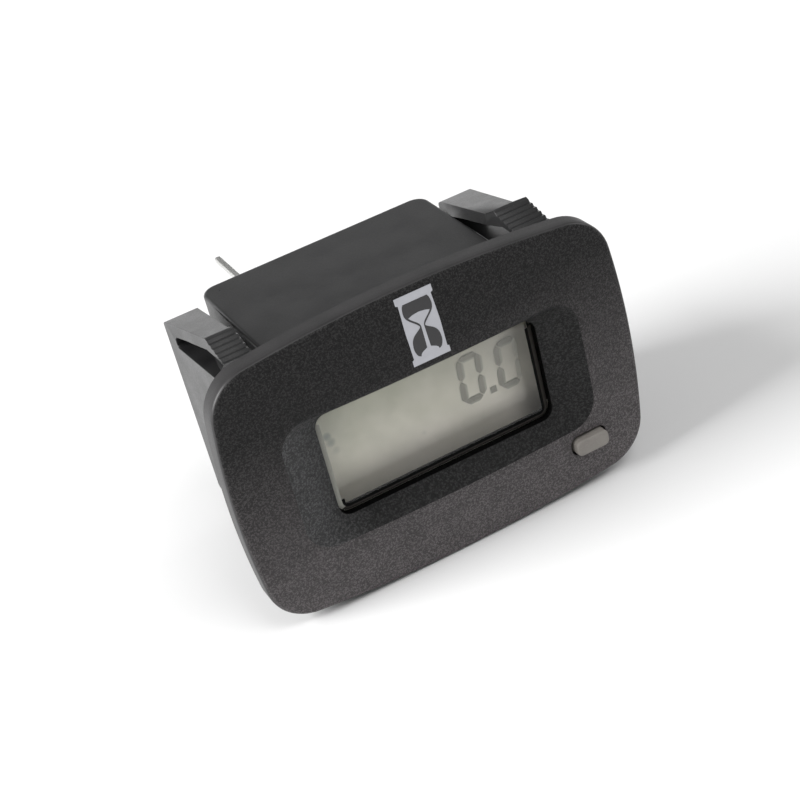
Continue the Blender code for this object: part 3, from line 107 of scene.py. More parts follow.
class Tree:
    """The node tree of one material, filled node by node."""

    def __init__(self, name: str) -> None:
        """Starts a material with a Principled shader.

        Args:
            name: The material's name.
        """
        self.material = bpy.data.materials.new(name)
        self.material.use_nodes = True
        self.nodes = self.material.node_tree.nodes
        self.links = self.material.node_tree.links
        self.shader = self.nodes["Principled BSDF"]
        self.output = self.nodes["Material Output"]
        self.place = self.add("ShaderNodeTexCoord").outputs["Object"]

    def split(self) -> tuple[bpy.types.NodeSocket, bpy.types.NodeSocket]:
        """The X and Z of a point's place."""
        parts = self.add("ShaderNodeSeparateXYZ", {"Vector": self.place}).outputs
        return parts["X"], parts["Z"]

    def put(self, socket: bpy.types.NodeSocket, value: object) -> None:
        """Links a socket to another one, or sets its own value.

        Args:
            socket: The input socket.
            value: A socket to link from, or a plain value.
        """
        if isinstance(value, bpy.types.NodeSocket):
            self.links.new(value, socket)
        else:
            socket.default_value = value

    def add(self, kind: str, inputs: dict[object, object] | None = None, **settings: object) -> bpy.types.Node:
        """Adds a node.

        Args:
            kind: The node's type name.
            inputs: Values or sockets for its inputs, by name or number.
            settings: Values for its own settings.

        Returns:
            The node.
        """
        node = self.nodes.new(kind)
        for key, value in settings.items():
            setattr(node, key, value)
        for key, value in (inputs or {}).items():
            self.put(node.inputs[key], value)
        return node

    def stretched(self, scale: Point) -> bpy.types.NodeSocket:
        """The place of a point, scaled along each axis."""
        return self.add("ShaderNodeMapping", {"Vector": self.place, "Scale": scale}).outputs["Vector"]

    def noise(self, size_mm: float, detail: float = 3.0, rough: float = 0.5, place: object = None,
              warp: float = 0.0) -> bpy.types.NodeSocket:
        """A noise pattern.

        Args:
            size_mm: The pattern's grain size.
            detail: How many finer layers it has.
            rough: The strength of the finer layers.
            place: Where it is read, if not at the point's own place.
            warp: How far it is distorted.

        Returns:
            The pattern's factor socket.
        """
        values = {"Vector": place or self.place, "Scale": 1.0 / (size_mm * MM), "Detail": detail,
                  "Roughness": rough, "Distortion": warp}
        return self.add("ShaderNodeTexNoise", values).outputs["Fac"]

    def cells(self, size_mm: float, feature: str = "F1") -> bpy.types.NodeSocket:
        """A pattern of cells, as the distance from their middles."""
        values = {"Vector": self.place, "Scale": 1.0 / (size_mm * MM)}
        return self.add("ShaderNodeTexVoronoi", values, feature=feature).outputs["Distance"]

    def spread(self, value: object, low: float, high: float, to_low: float = 0.0,
               to_high: float = 1.0) -> bpy.types.NodeSocket:
        """Maps a value from one range onto another, clamped."""
        values = {"Value": value, "From Min": low, "From Max": high, "To Min": to_low, "To Max": to_high}
        return self.add("ShaderNodeMapRange", values).outputs["Result"]

    def reckon(self, operation: str, a: object, b: object = 0.0) -> bpy.types.NodeSocket:
        """Works out an operation on two values."""
        return self.add("ShaderNodeMath", {0: a, 1: b}, operation=operation).outputs[0]

    def weigh(self, first: object, share: float, second: object, other_share: float) -> bpy.types.NodeSocket:
        """Adds two values, each times its share."""
        return self.reckon("ADD", self.reckon("MULTIPLY", first, share), self.reckon("MULTIPLY", second, other_share))

    def blend(self, amount: object, first: object, second: object) -> bpy.types.NodeSocket:
        """Mixes two colours.

        Args:
            amount: The share of the second colour.
            first: A colour or its socket.
            second: A colour or its socket.

        Returns:
            The mixed colour's socket.
        """
        node = self.add("ShaderNodeMix", data_type="RGBA")
        for socket, value in ((node.inputs[0], amount), (node.inputs[6], first), (node.inputs[7], second)):
            self.put(socket, (*value, 1.0) if isinstance(value, tuple) else value)
        return node.outputs[2]

    def relief(self, height: object, depth_mm: float, below: object = None) -> bpy.types.NodeSocket:
        """A bump from a height pattern.

        Args:
            height: The pattern.
            depth_mm: How deep a full step of it is.
            below: Another bump that this one lies on.

        Returns:
            The normal's socket.
        """
        node = self.add("ShaderNodeBump", {"Height": height, "Distance": depth_mm * MM, "Strength": 1.0})
        if below is not None:
            self.put(node.inputs["Normal"], below)
        return node.outputs["Normal"]

    def dress(self, colour: object, roughness: object, normal: object = None,
              **fixed: float) -> bpy.types.Material:
        """Joins patterns to the Principled shader.

        Args:
            colour: The base colour's socket.
            roughness: A value or a socket.
            normal: The bump's socket.
            fixed: Constants for further sockets, with _ for a space.

        Returns:
            The material.
        """
        self.put(self.shader.inputs["Base Color"], (*colour, 1.0) if isinstance(colour, tuple) else colour)
        self.put(self.shader.inputs["Roughness"], roughness)
        if normal is not None:
            self.put(self.shader.inputs["Normal"], normal)
        for key, value in fixed.items():
            self.shader.inputs[key.replace("_", " ")].default_value = value
        return self.material


@dataclass(frozen=True)
class Finish:
    """A finish with a name and the record's slot that it stands for."""

    name: str
    slot: Slot

    def make(self) -> bpy.types.Material:
        """Builds the material of this finish."""
        raise NotImplementedError


@dataclass(frozen=True)
class MouldedPlastic(Finish):
    """Moulded plastic with a fine grain, faint mottling and small shiny or dull patches."""

    colour: Colour
    pale: Colour
    roughness: float
    grain_mm: float
    grain_depth_mm: float
    mottle_mm: float = 3.5
    speckle: float = 0.25
    specular: float = 0.5

    def make(self) -> bpy.types.Material:
        """Builds the material.

        Returns:
            The material.
        """
        tree = Tree(self.name)
        cloud = tree.noise(self.mottle_mm, 4.0, 0.6)
        grain = tree.noise(self.grain_mm, 2.0, 0.55, warp=0.4)
        colour = tree.blend(tree.spread(cloud, 0.35, 0.75, 0.0, 0.6), self.colour, self.pale)
        colour = tree.blend(tree.spread(grain, 0.45, 0.75, 0.0, self.speckle), colour, self.pale)
        rough = tree.reckon("ADD", tree.spread(cloud, 0.3, 0.7, self.roughness - 0.05, self.roughness + 0.04),
                            tree.spread(grain, 0.3, 0.7, 0.04, -0.04))
        normal = tree.relief(grain, self.grain_depth_mm)
        return tree.dress(colour, rough, normal, Specular_IOR_Level=self.specular)


@dataclass(frozen=True)
class SparkTexture(Finish):
    """Black plastic with the dense spark grain of a textured mould, worn lighter on its peaks.

    Painted light: a pale tint grows along a direction in X and Z, from nothing at the reach's start to its full cover
    at the end, broken into patches by noise.
    """

    colour: Colour
    peak: Colour
    roughness: float
    grain_mm: float
    depth_mm: float
    pale_light: Colour = (0.15, 0.136, 0.139)
    light_drift: tuple[float, float] = (0.1, -1.0)
    light_reach_mm: tuple[float, float] = (-9.0, 16.0)
    cover: float = 0.85
    specular: float = 0.3

    def make(self) -> bpy.types.Material:
        """Builds the material, with a painted light that grows toward one side.

        Returns:
            The material.
        """
        tree = Tree(self.name)
        cells = tree.cells(self.grain_mm * 1.7, "SMOOTH_F1")
        fine = tree.noise(self.grain_mm, 3.0, 0.6, warp=0.6)
        height = tree.reckon("SUBTRACT", fine, tree.reckon("MULTIPLY", cells, 0.45))
        peaks = tree.spread(height, 0.27, 0.43, 0.0, 0.75)
        x, z = tree.split()
        # Painted light: the pale tint grows along the drift and lies thicker on the grain's peaks
        lean = tree.weigh(x, self.light_drift[0], z, self.light_drift[1])
        start, end = self.light_reach_mm
        patchy = tree.spread(tree.noise(2.6, 4.0, 0.65), 0.3, 0.75, 0.7, 1.0)
        painted_light = tree.reckon("MULTIPLY", tree.spread(lean, start * MM, end * MM, 0.0, self.cover), patchy)
        colour = tree.blend(peaks, tree.blend(painted_light, self.colour, tuple(c * 0.6 for c in self.pale_light)),
                            tree.blend(painted_light, self.peak, tuple(c * 1.7 for c in self.pale_light)))
        rough = tree.spread(height, 0.1, 0.5, self.roughness + 0.06, self.roughness - 0.06)
        normal = tree.relief(height, self.depth_mm)
        return tree.dress(colour, rough, normal, Specular_IOR_Level=self.specular)


@dataclass(frozen=True)
class ClearPart(Finish):
    """Clear plastic or glass that lets lamps through, with gloss that grows at a slant."""

    tint: Colour
    gloss: float = 0.04
    smear: float = 0.02
    shine: float = 0.04

    def make(self) -> bpy.types.Material:
        """Builds the material.

        Returns:
            The material.
        """
        tree = Tree(self.name)
        smear = tree.noise(5.0, 3.0, 0.6)
        tint = tree.blend(tree.spread(smear, 0.3, 0.7, 0.0, 0.5), self.tint,
                          tuple(min(1.0, c * 1.03) for c in self.tint))
        clear = tree.add("ShaderNodeBsdfTransparent", {"Color": tint})
        rough = tree.spread(smear, 0.35, 0.7, self.gloss, self.gloss + self.smear)
        shine = tree.add("ShaderNodeBsdfGlossy", {"Color": (0.9, 0.9, 0.9, 1.0), "Roughness": rough})
        slant = tree.add("ShaderNodeLayerWeight", {"Blend": 0.5}).outputs["Facing"]
        share = tree.spread(tree.reckon("POWER", slant, 5.0), 0.0, 1.0, self.shine, 0.9)
        both = tree.add("ShaderNodeMixShader", {0: share, 1: clear.outputs[0], 2: shine.outputs[0]})
        tree.put(tree.output.inputs["Surface"], both.outputs[0])
        tree.nodes.remove(tree.shader)
        return tree.material


@dataclass(frozen=True)
class FrostedEdge(Finish):
    """A ground edge of the clear window, which lets a share of the light through; the window's edges use it for
    painted shade and painted highlights.
    """

    colour: Colour
    clear_share: float
    specular: float = 0.08

    def make(self) -> bpy.types.Material:
        """Builds the material.

        Returns:
            The material.
        """
        tree = Tree(self.name)
        grain = tree.noise(0.2, 3.0, 0.6)
        colour = tree.blend(grain, self.colour, tuple(c * 0.7 for c in self.colour))
        clear = tree.add("ShaderNodeBsdfTransparent", {"Color": (0.45, 0.45, 0.43, 1.0)})
        tree.dress(colour, tree.spread(grain, 0.3, 0.7, 0.35, 0.5), tree.relief(grain, 0.004),
                   Specular_IOR_Level=self.specular)
        both = tree.add("ShaderNodeMixShader", {0: self.clear_share, 1: tree.shader.outputs[0],
                                                2: clear.outputs[0]})
        tree.put(tree.output.inputs["Surface"], both.outputs[0])
        return tree.material


@dataclass(frozen=True)
class DisplayBack(Finish):
    """The milky cell over its reflector, with painted light and shade: darker and greenish above, paler and greyer
    below, shaded at the upper right.

    Each stain has its X, Z and radius in mm, and its strength.
    """

    green: Colour
    grey: Colour
    width_mm: float
    height_mm: float
    shaded: Colour = (0.46, 0.435, 0.41)
    stain: Colour = (0.2, 0.23, 0.23)
    stains: tuple[tuple[float, float, float, float], ...] = (
        (-10.45, 1.3, 0.55, 0.8), (-10.2, 0.5, 0.6, 0.6), (-9.9, -0.6, 0.5, 0.25), (-0.5, -3.2, 0.35, 0.15))

    def make(self) -> bpy.types.Material:
        """Builds the material.

        Returns:
            The material.
        """
        tree = Tree(self.name)
        x, z = tree.split()
        across = tree.spread(x, -self.width_mm * MM / 2, self.width_mm * MM / 2)
        down = tree.spread(z, self.height_mm * MM / 2, -self.height_mm * MM / 2)
        # Painted light and shade: the colour runs from the darker green at the top left to the pale grey at the
        # bottom right
        slope = tree.weigh(across, 0.25, down, 0.75)
        cloud = tree.noise(3.0, 3.0, 0.55)
        fleck = tree.noise(0.12, 2.0, 0.5)
        slope = tree.reckon("ADD", slope, tree.spread(cloud, 0.3, 0.7, -0.1, 0.1))
        colour = tree.blend(slope, self.green, self.grey)
        # Painted shade at the upper right
        painted_shade = tree.reckon("MULTIPLY", tree.spread(across, 0.4, 1.0, 0.0, 0.8), tree.spread(down, 0.2, 0.8, 1.0, 0.0))
        colour = tree.blend(painted_shade, colour, self.shaded)
        colour = tree.blend(tree.spread(fleck, 0.4, 0.7, 0.0, 0.12), colour, (0.62, 0.64, 0.56))
        for stain_x, stain_z, radius, strength in self.stains:
            away = [tree.reckon("SUBTRACT", socket, at * MM) for socket, at in ((x, stain_x), (z, stain_z))]
            far = tree.reckon("ADD", *(tree.reckon("MULTIPLY", one, one) for one in away))
            colour = tree.blend(tree.spread(far, 0.0, (radius * MM) ** 2, strength, 0.0), colour, self.stain)
        normal = tree.relief(fleck, 0.003)
        return tree.dress(colour, tree.spread(cloud, 0.3, 0.7, 0.42, 0.5), normal)


@dataclass(frozen=True)
class PrintInk(Finish):
    """Pad-printed ink that follows the grain below it."""

    colour: Colour
    roughness: float = 0.55

    def make(self) -> bpy.types.Material:
        """Builds the material.

        Returns:
            The material.
        """
        tree = Tree(self.name)
        grain = tree.noise(0.22, 3.0, 0.6)
        cloud = tree.noise(1.6, 3.0, 0.6)
        worn = tuple(c * 0.82 for c in self.colour)
        colour = tree.blend(tree.spread(cloud, 0.35, 0.75, 0.0, 0.6), self.colour, worn)
        colour = tree.blend(tree.spread(grain, 0.55, 0.8, 0.0, 0.3), colour, worn)
        return tree.dress(colour, self.roughness, tree.relief(grain, 0.02))


@dataclass(frozen=True)
class Metal(Finish):
    """Drawn or plated metal with fine lines along one axis."""

    colour: Colour
    roughness: float
    lines: Point = (1.0, 0.08, 1.0)
    line_mm: float = 0.06

    def make(self) -> bpy.types.Material:
        """Builds the material.

        Returns:
            The material.
        """
        tree = Tree(self.name)
        lines = tree.noise(self.line_mm, 3.0, 0.6, tree.stretched(self.lines))
        cloud = tree.noise(1.5, 3.0, 0.6)
        dull = tuple(c * 0.72 for c in self.colour)
        colour = tree.blend(tree.spread(cloud, 0.3, 0.75, 0.0, 0.7), self.colour, dull)
        rough = tree.spread(lines, 0.3, 0.7, self.roughness - 0.06, self.roughness + 0.1)
        return tree.dress(colour, rough, tree.relief(lines, 0.004), Metallic=1.0)


@dataclass(frozen=True)
class StripedRubber(Finish):
    """Silicone strip with dark conducting layers across it."""

    colour: Colour
    dark: Colour
    pitch_mm: float = 0.18

    def make(self) -> bpy.types.Material:
        """Builds the material.

        Returns:
            The material.
        """
        tree = Tree(self.name)
        wave = tree.add("ShaderNodeTexWave", {"Vector": tree.place, "Scale": 0.3 / (self.pitch_mm * MM),
                                              "Distortion": 0.3}, bands_direction="X")
        grain = tree.noise(0.15, 3.0, 0.6)
        colour = tree.blend(tree.spread(wave.outputs["Fac"], 0.45, 0.6), self.colour, self.dark)
        colour = tree.blend(tree.spread(grain, 0.4, 0.8, 0.0, 0.3), colour, self.dark)
        return tree.dress(colour, tree.spread(grain, 0.3, 0.7, 0.62, 0.78), tree.relief(grain, 0.01))


@dataclass(frozen=True)
class SolderMask(Finish):
    """Green board lacquer over copper tracks, with the laminate's weave under it."""

    lacquer: Colour
    track: Colour
    pitch_mm: float = 1.3

    def make(self) -> bpy.types.Material:
        """Builds the material.

        Returns:
            The material.
        """
        tree = Tree(self.name)
        bricks = tree.add("ShaderNodeTexBrick", {
            "Vector": tree.add("ShaderNodeMapping", {"Vector": tree.place,
                                                     "Rotation": (math.pi / 2, 0.0, 0.0)}).outputs["Vector"],
            "Scale": 1.0 / (self.pitch_mm * MM), "Mortar Size": 0.11, "Mortar Smooth": 0.1,
            "Color1": (0.0, 0.0, 0.0, 1.0), "Color2": (0.0, 0.0, 0.0, 1.0), "Mortar": (1.0, 1.0, 1.0, 1.0),
            "Brick Width": 2.6, "Row Height": 0.9}).outputs["Color"]
        weave = tree.noise(0.3, 2.0, 0.5)
        colour = tree.blend(bricks, self.lacquer, self.track)
        colour = tree.blend(tree.spread(weave, 0.4, 0.7, 0.0, 0.25), colour, tuple(c * 0.6 for c in self.lacquer))
        normal = tree.relief(bricks, 0.035, below=tree.relief(weave, 0.008))
        return tree.dress(colour, tree.spread(weave, 0.3, 0.7, 0.28, 0.42), normal)


@dataclass(frozen=True)
class BandedCoat(Finish):
    """Baked resistor coat with colour bands across its length."""

    colour: Colour
    bands: tuple[tuple[float, Colour], ...]
    centre_x_mm: float
    band_mm: float = 0.28

    def make(self) -> bpy.types.Material:
        """Builds the material.

        Returns:
            The material.
        """
        tree = Tree(self.name)
        across, _ = tree.split()
        grain = tree.noise(0.35, 3.0, 0.6)
        colour = tree.blend(tree.spread(grain, 0.35, 0.7, 0.0, 0.5), self.colour,
                            tuple(c * 0.75 for c in self.colour))
        for offset, band in self.bands:
            away = tree.reckon("ABSOLUTE", tree.reckon("SUBTRACT", across, (self.centre_x_mm + offset) * MM))
            edge = self.band_mm * MM
            colour = tree.blend(tree.spread(away, edge * 0.9, edge, 1.0, 0.0), colour, band)
        return tree.dress(colour, tree.spread(grain, 0.3, 0.7, 0.32, 0.48), tree.relief(grain, 0.02))


@dataclass(frozen=True)
class PlatedCeramic(Finish):
    """Fired chip ceramic between two tinned ends."""

    body: Colour
    end: Colour
    centre_x_mm: float
    half_mm: float

    def make(self) -> bpy.types.Material:
        """Builds the material.

        Returns:
            The material.
        """
        tree = Tree(self.name)
        across, _ = tree.split()
        away = tree.reckon("ABSOLUTE", tree.reckon("SUBTRACT", across, self.centre_x_mm * MM))
        ends = tree.spread(away, self.half_mm * MM * 0.97, self.half_mm * MM * 1.03)
        grain = tree.noise(0.12, 3.0, 0.6)
        colour = tree.blend(ends, self.body, self.end)
        colour = tree.blend(tree.spread(grain, 0.4, 0.75, 0.0, 0.3), colour, (0.25, 0.2, 0.16))
        tree.put(tree.shader.inputs["Metallic"], ends)
        return tree.dress(colour, tree.spread(grain, 0.3, 0.7, 0.3, 0.45), tree.relief(grain, 0.006))


@dataclass(frozen=True)
class StudioFloor(Finish):
    """Matt pale paper with a faint, wide unevenness."""

    colour: Colour

    def make(self) -> bpy.types.Material:
        """Builds the material.

        Returns:
            The material.
        """
        tree = Tree(self.name)
        cloud = tree.noise(60.0, 3.0, 0.5)
        colour = tree.blend(tree.spread(cloud, 0.3, 0.7, 0.0, 0.3), self.colour,
                            tuple(c * 0.985 for c in self.colour))
        return tree.dress(colour, 0.9, Specular_IOR_Level=0.1)


# Shapes


def arc(centre: tuple[float, float], radius: float, start: float, end: float, steps: int) -> Outline:
    """Points along an arc.

    Args:
        centre: The arc's centre.
        radius: Its radius.
        start: The first angle, in radians.
        end: The last angle.
        steps: How many steps lead from one to the other.

    Returns:
        The points, both ends included.
    """
    angles = [start + (end - start) * i / steps for i in range(steps + 1)]
    return [(centre[0] + radius * math.cos(a), centre[1] + radius * math.sin(a)) for a in angles]


@dataclass(frozen=True)
class RoundedForm:
    """A rounded rectangle in X and Z, whose sides may bow outward."""

    half_width: float
    half_height: float
    corner: float
    centre_z: float = 0.0
    side_bulge: float = 0.0
    top_bulge: float = 0.0
    side_steps: int = 12
    corner_steps: int = 14
    top_steps: int = 22

    def straight_quarter(self) -> Outline:
        """The upper right quarter with straight sides.

        Returns:
            Its points, from the middle of the right side to the middle of the top.
        """
        x, z = self.half_width - self.corner, self.half_height - self.corner
        side = [(self.half_width, z * i / self.side_steps) for i in range(self.side_steps)]
        top = [(x * (1 - i / self.top_steps), self.half_height) for i in range(1, self.top_steps + 1)]
        return side + arc((x, z), self.corner, 0.0, math.pi / 2, self.corner_steps) + top

    def bowed_quarter(self) -> Outline:
        """The upper right quarter with bowed sides, whose corner arc touches both bows from inside.

        Returns:
            Its points, from the middle of the right side to the middle of the top.
        """
        side_radius = (self.half_height ** 2 + self.side_bulge ** 2) / (2 * self.side_bulge)
        top_radius = (self.half_width ** 2 + self.top_bulge ** 2) / (2 * self.top_bulge)
        side_centre = Vector((self.half_width - side_radius, 0.0))
        top_centre = Vector((0.0, self.half_height - top_radius))
        reach_side, reach_top = side_radius - self.corner, top_radius - self.corner
        apart = top_centre - side_centre
        along = (reach_side ** 2 - reach_top ** 2 + apart.length_squared) / (2 * apart.length)
        across = math.sqrt(max(reach_side ** 2 - along ** 2, 0.0))
        unit = apart.normalized()
        crossings = [side_centre + unit * along + Vector((-unit.y, unit.x)) * across * s for s in (-1, 1)]
        corner = max(crossings, key=lambda p: p.x + p.y)
        low = math.atan2(corner.y - side_centre.y, corner.x - side_centre.x)
        high = math.atan2(corner.y - top_centre.y, corner.x - top_centre.x)
        side = arc(tuple(side_centre), side_radius, 0.0, low, self.side_steps)
        turn = arc(tuple(corner), self.corner, low, high, self.corner_steps)
        top = arc(tuple(top_centre), top_radius, high, math.pi / 2, self.top_steps)
        return side[:-1] + turn + top[1:]

    def outline(self) -> Outline:
        """The whole outline.

        Returns:
            Its points, anticlockwise from the middle of the right side.
        """
        bowed = self.side_bulge > 0 and self.top_bulge > 0
        quarter = self.bowed_quarter() if bowed else self.straight_quarter()
        upper = quarter + [(-x, z) for x, z in reversed(quarter[:-1])]
        whole = upper + [(x, -z) for x, z in reversed(upper[1:-1])]
        return [(x, z + self.centre_z) for x, z in whole]

    def inset(self, by: float) -> Outline:
        """The outline shrunk by the same length at each side."""
        sx, sz = (self.half_width - by) / self.half_width, (self.half_height - by) / self.half_height
        return [(x * sx, self.centre_z + (z - self.centre_z) * sz) for x, z in self.outline()]


@dataclass(frozen=True)
class Bar:
    """A bar with rounded corners, in X and Z."""

    width: float
    height: float
    corner: float
    x: float
    z: float
    turn_steps: int = 8

    def outline(self, grow: float = 0.0) -> Outline:
        """The bar's outline.

        Args:
            grow: How far the outline stands outside the bar all round.

        Returns:
            The outline, anticlockwise.
        """
        across, up, turn = self.width / 2 - self.corner, self.height / 2 - self.corner, math.pi / 2
        corners = ((across, -up), (across, up), (-across, up), (-across, -up))
        return [point for i, (dx, dz) in enumerate(corners)
                for point in arc((self.x + dx, self.z + dz), self.corner + grow, (i - 1) * turn, i * turn,
                                 self.turn_steps)]


WINDOW = RoundedForm(12.3 * MM, 5.88 * MM, 1.3 * MM, 0.115 * MM)
BUTTON_BAR = Bar(3.8 * MM, 1.8 * MM, 0.62 * MM, 15.1 * MM, -9.7 * MM)


def smooth_path(points: Outline, steps: int) -> Outline:
    """A smooth open path through points.

    Args:
        points: The points that it passes through.
        steps: How many steps lead from one to the next.

    Returns:
        The path's points, both ends included.
    """
    ends = [points[0]] + list(points) + [points[-1]]
    path = []
    for i in range(len(points) - 1):
        p = [Vector(q) for q in ends[i:i + 4]]
        for k in range(steps):
            t = k / steps
            q = 0.5 * (2 * p[1] + (p[2] - p[0]) * t + (2 * p[0] - 5 * p[1] + 4 * p[2] - p[3]) * t ** 2
                       + (3 * p[1] - p[0] - 3 * p[2] + p[3]) * t ** 3)
            path.append((q.x, q.y))
    return path + [tuple(points[-1])]


def moved_in(outline: Outline, by: float) -> Outline:
    """An outline whose sides are moved inward by the same length.

    Args:
        outline: The outline, anticlockwise.
        by: The length.

    Returns:
        The smaller outline.
    """
    count = len(outline)
    result = []
    for i in range(count):
        before, here, after = (Vector(outline[(i + k) % count]) for k in (-1, 0, 1))
        a, b = (here - before).normalized(), (after - here).normalized()
        na, nb = Vector((-a.y, a.x)), Vector((-b.y, b.x))
        mitre = (na + nb).normalized()
        result.append(tuple(here + mitre * by / max(mitre.dot(na), 0.5)))
    return result


def pillow(outline: Outline, start: float, end: float, edge: float,
           to_point: Callable[[float, float, float], Point], turns: int = 3) -> bmesh.types.BMesh:
    """Sweeps an outline along a line, with rounded edges at both ends.

    Args:
        outline: The outline, anticlockwise in its two coordinates.
        start: Where the sweep starts along the third coordinate.
        end: Where it ends.
        edge: The radius of the rounded edges.
        to_point: Makes a point from the outline's two coordinates and the third.
        turns: How many steps a rounded edge has.

    Returns:
        The mesh.
    """
    stations = [(0.0, edge * 1.2)]
    for i in range(turns + 1):
        angle = math.pi / 2 * i / turns
        stations.append((edge * (1 - math.cos(angle)), edge * (1 - math.sin(angle))))
    near = [(start + away, by) for away, by in stations]
    far = [(end - away, by) for away, by in reversed(stations)]
    bm = skin([[to_point(u, v, w) for u, v in moved_in(outline, by)] for w, by in near + far])
    bm.normal_update()
    bmesh.ops.triangulate(bm, faces=[f for f in bm.faces if len(f.verts) > 4])
    return bm


def between(start: tuple[float, ...], end: tuple[float, ...], share: float) -> tuple[float, ...]:
    """The point that lies a share of the way from one point to another."""
    return tuple(a + (b - a) * share for a, b in zip(start, end))


def at_depth(outline: Outline, y: float) -> list[Point]:
    """An outline in X and Z as a ring at one depth."""
    return [(x, y, z) for x, z in outline]


def skin(rings: list[list[Point]], loop: bool = False) -> bmesh.types.BMesh:
    """Skins rings of equal point count.

    Args:
        rings: The rings, in order.
        loop: Whether the last ring joins the first. The ends are capped otherwise.

    Returns:
        The mesh, whose faces run round one band after the other.
    """
    bm = bmesh.new()
    loops = [[bm.verts.new(point) for point in ring] for ring in rings]
    pairs = list(zip(loops, loops[1:])) + ([(loops[-1], loops[0])] if loop else [])
    count = len(loops[0])
    for low, high in pairs:
        for i in range(count):
            j = (i + 1) % count
            bm.faces.new((low[i], low[j], high[j], high[i]))
    if not loop:
        bm.faces.new(loops[0])
        bm.faces.new(loops[-1])
    return bm


def rounded_block(low: Point, high: Point, edge: float) -> bmesh.types.BMesh:
    """A block with rounded edges.

    Args:
        low: Its lowest corner.
        high: Its highest corner.
        edge: How wide its rounded edges are.

    Returns:
        The mesh.
    """
    bm = bmesh.new()
    bmesh.ops.create_cube(bm, size=1.0)
    size = [b - a for a, b in zip(low, high)]
    middle = [(a + b) / 2 for a, b in zip(low, high)]
    bmesh.ops.scale(bm, vec=size, verts=bm.verts)
    bmesh.ops.translate(bm, vec=middle, verts=bm.verts)
    bmesh.ops.bevel(bm, geom=bm.edges, offset=edge, segments=2, affect="EDGES", profile=0.5)
    return bm


def as_object(name: str, bm: bmesh.types.BMesh, *materials: bpy.types.Material,
              crease: float = 35.0) -> bpy.types.Object:
    """Turns a mesh in work into an object.

    Args:
        name: The object's name.
        bm: The mesh, which is freed.
        materials: What fills its material slots.
        crease: The angle in degrees above which an edge stays sharp.

    Returns:
        The object.
    """
    bmesh.ops.recalc_face_normals(bm, faces=bm.faces)
    mesh = bpy.data.meshes.new(name)
    bm.to_mesh(mesh)
    bm.free()
    for material in materials:
        mesh.materials.append(material)
    mesh.shade_smooth()
    mesh.set_sharp_from_angle(angle=math.radians(crease))
    piece = bpy.data.objects.new(name, mesh)
    bpy.context.scene.collection.objects.link(piece)
    return piece


class Work(Enum):
    """What a tool does to a piece."""

    CUT = "DIFFERENCE"
    JOIN = "UNION"


def carve(piece: bpy.types.Object, bm: bmesh.types.BMesh, work: Work = Work.CUT, crease: float = 35.0) -> None:
    """Cuts a shape out of a piece, or joins it on, and keeps the result as the piece's mesh.

    Args:
        piece: The object.
        bm: The tool's mesh, which is freed.
        work: Whether it is cut out or joined on.
        crease: The angle in degrees above which an edge stays sharp.
    """
    tool = as_object("tool", bm)
    modifier = piece.modifiers.new("carve", "BOOLEAN")
    modifier.operation, modifier.object = work.value, tool
    graph = bpy.context.evaluated_depsgraph_get()
    mesh = bpy.data.meshes.new_from_object(piece.evaluated_get(graph))
    piece.modifiers.clear()
    old, piece.data = piece.data, mesh
    mesh.name = piece.name
    mesh.shade_smooth()
    mesh.set_sharp_from_angle(angle=math.radians(crease))
    bpy.data.meshes.remove(old)
    bpy.data.objects.remove(tool, do_unlink=True)


def place(piece: bpy.types.Object, body: Body, slot: Slot, *nodes: str) -> bpy.types.Object:
    """Sets a finished piece on its body.

    Args:
        piece: The object.
        body: The body that it rides on.
        slot: The record's slot that its finish comes from; not used.
        nodes: CAD nodes that it stands for.

    Returns:
        The piece.
    """
    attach(piece, body.value)
    if nodes:
        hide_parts(*nodes)
    LOG.info("%s rides on %s, %d faces", piece.name, body.value, len(piece.data.polygons))
    return piece


# Front moulding


class BezelFace(Enum):
    """The parts of the moulding's surface, in the order of their materials."""

    FRONT = 0
    RIM = 1
    FUNNEL = 2
    # Painted shade: a darker, dull black for the window's wall, which also covers the moulding's back
    WALL = 3


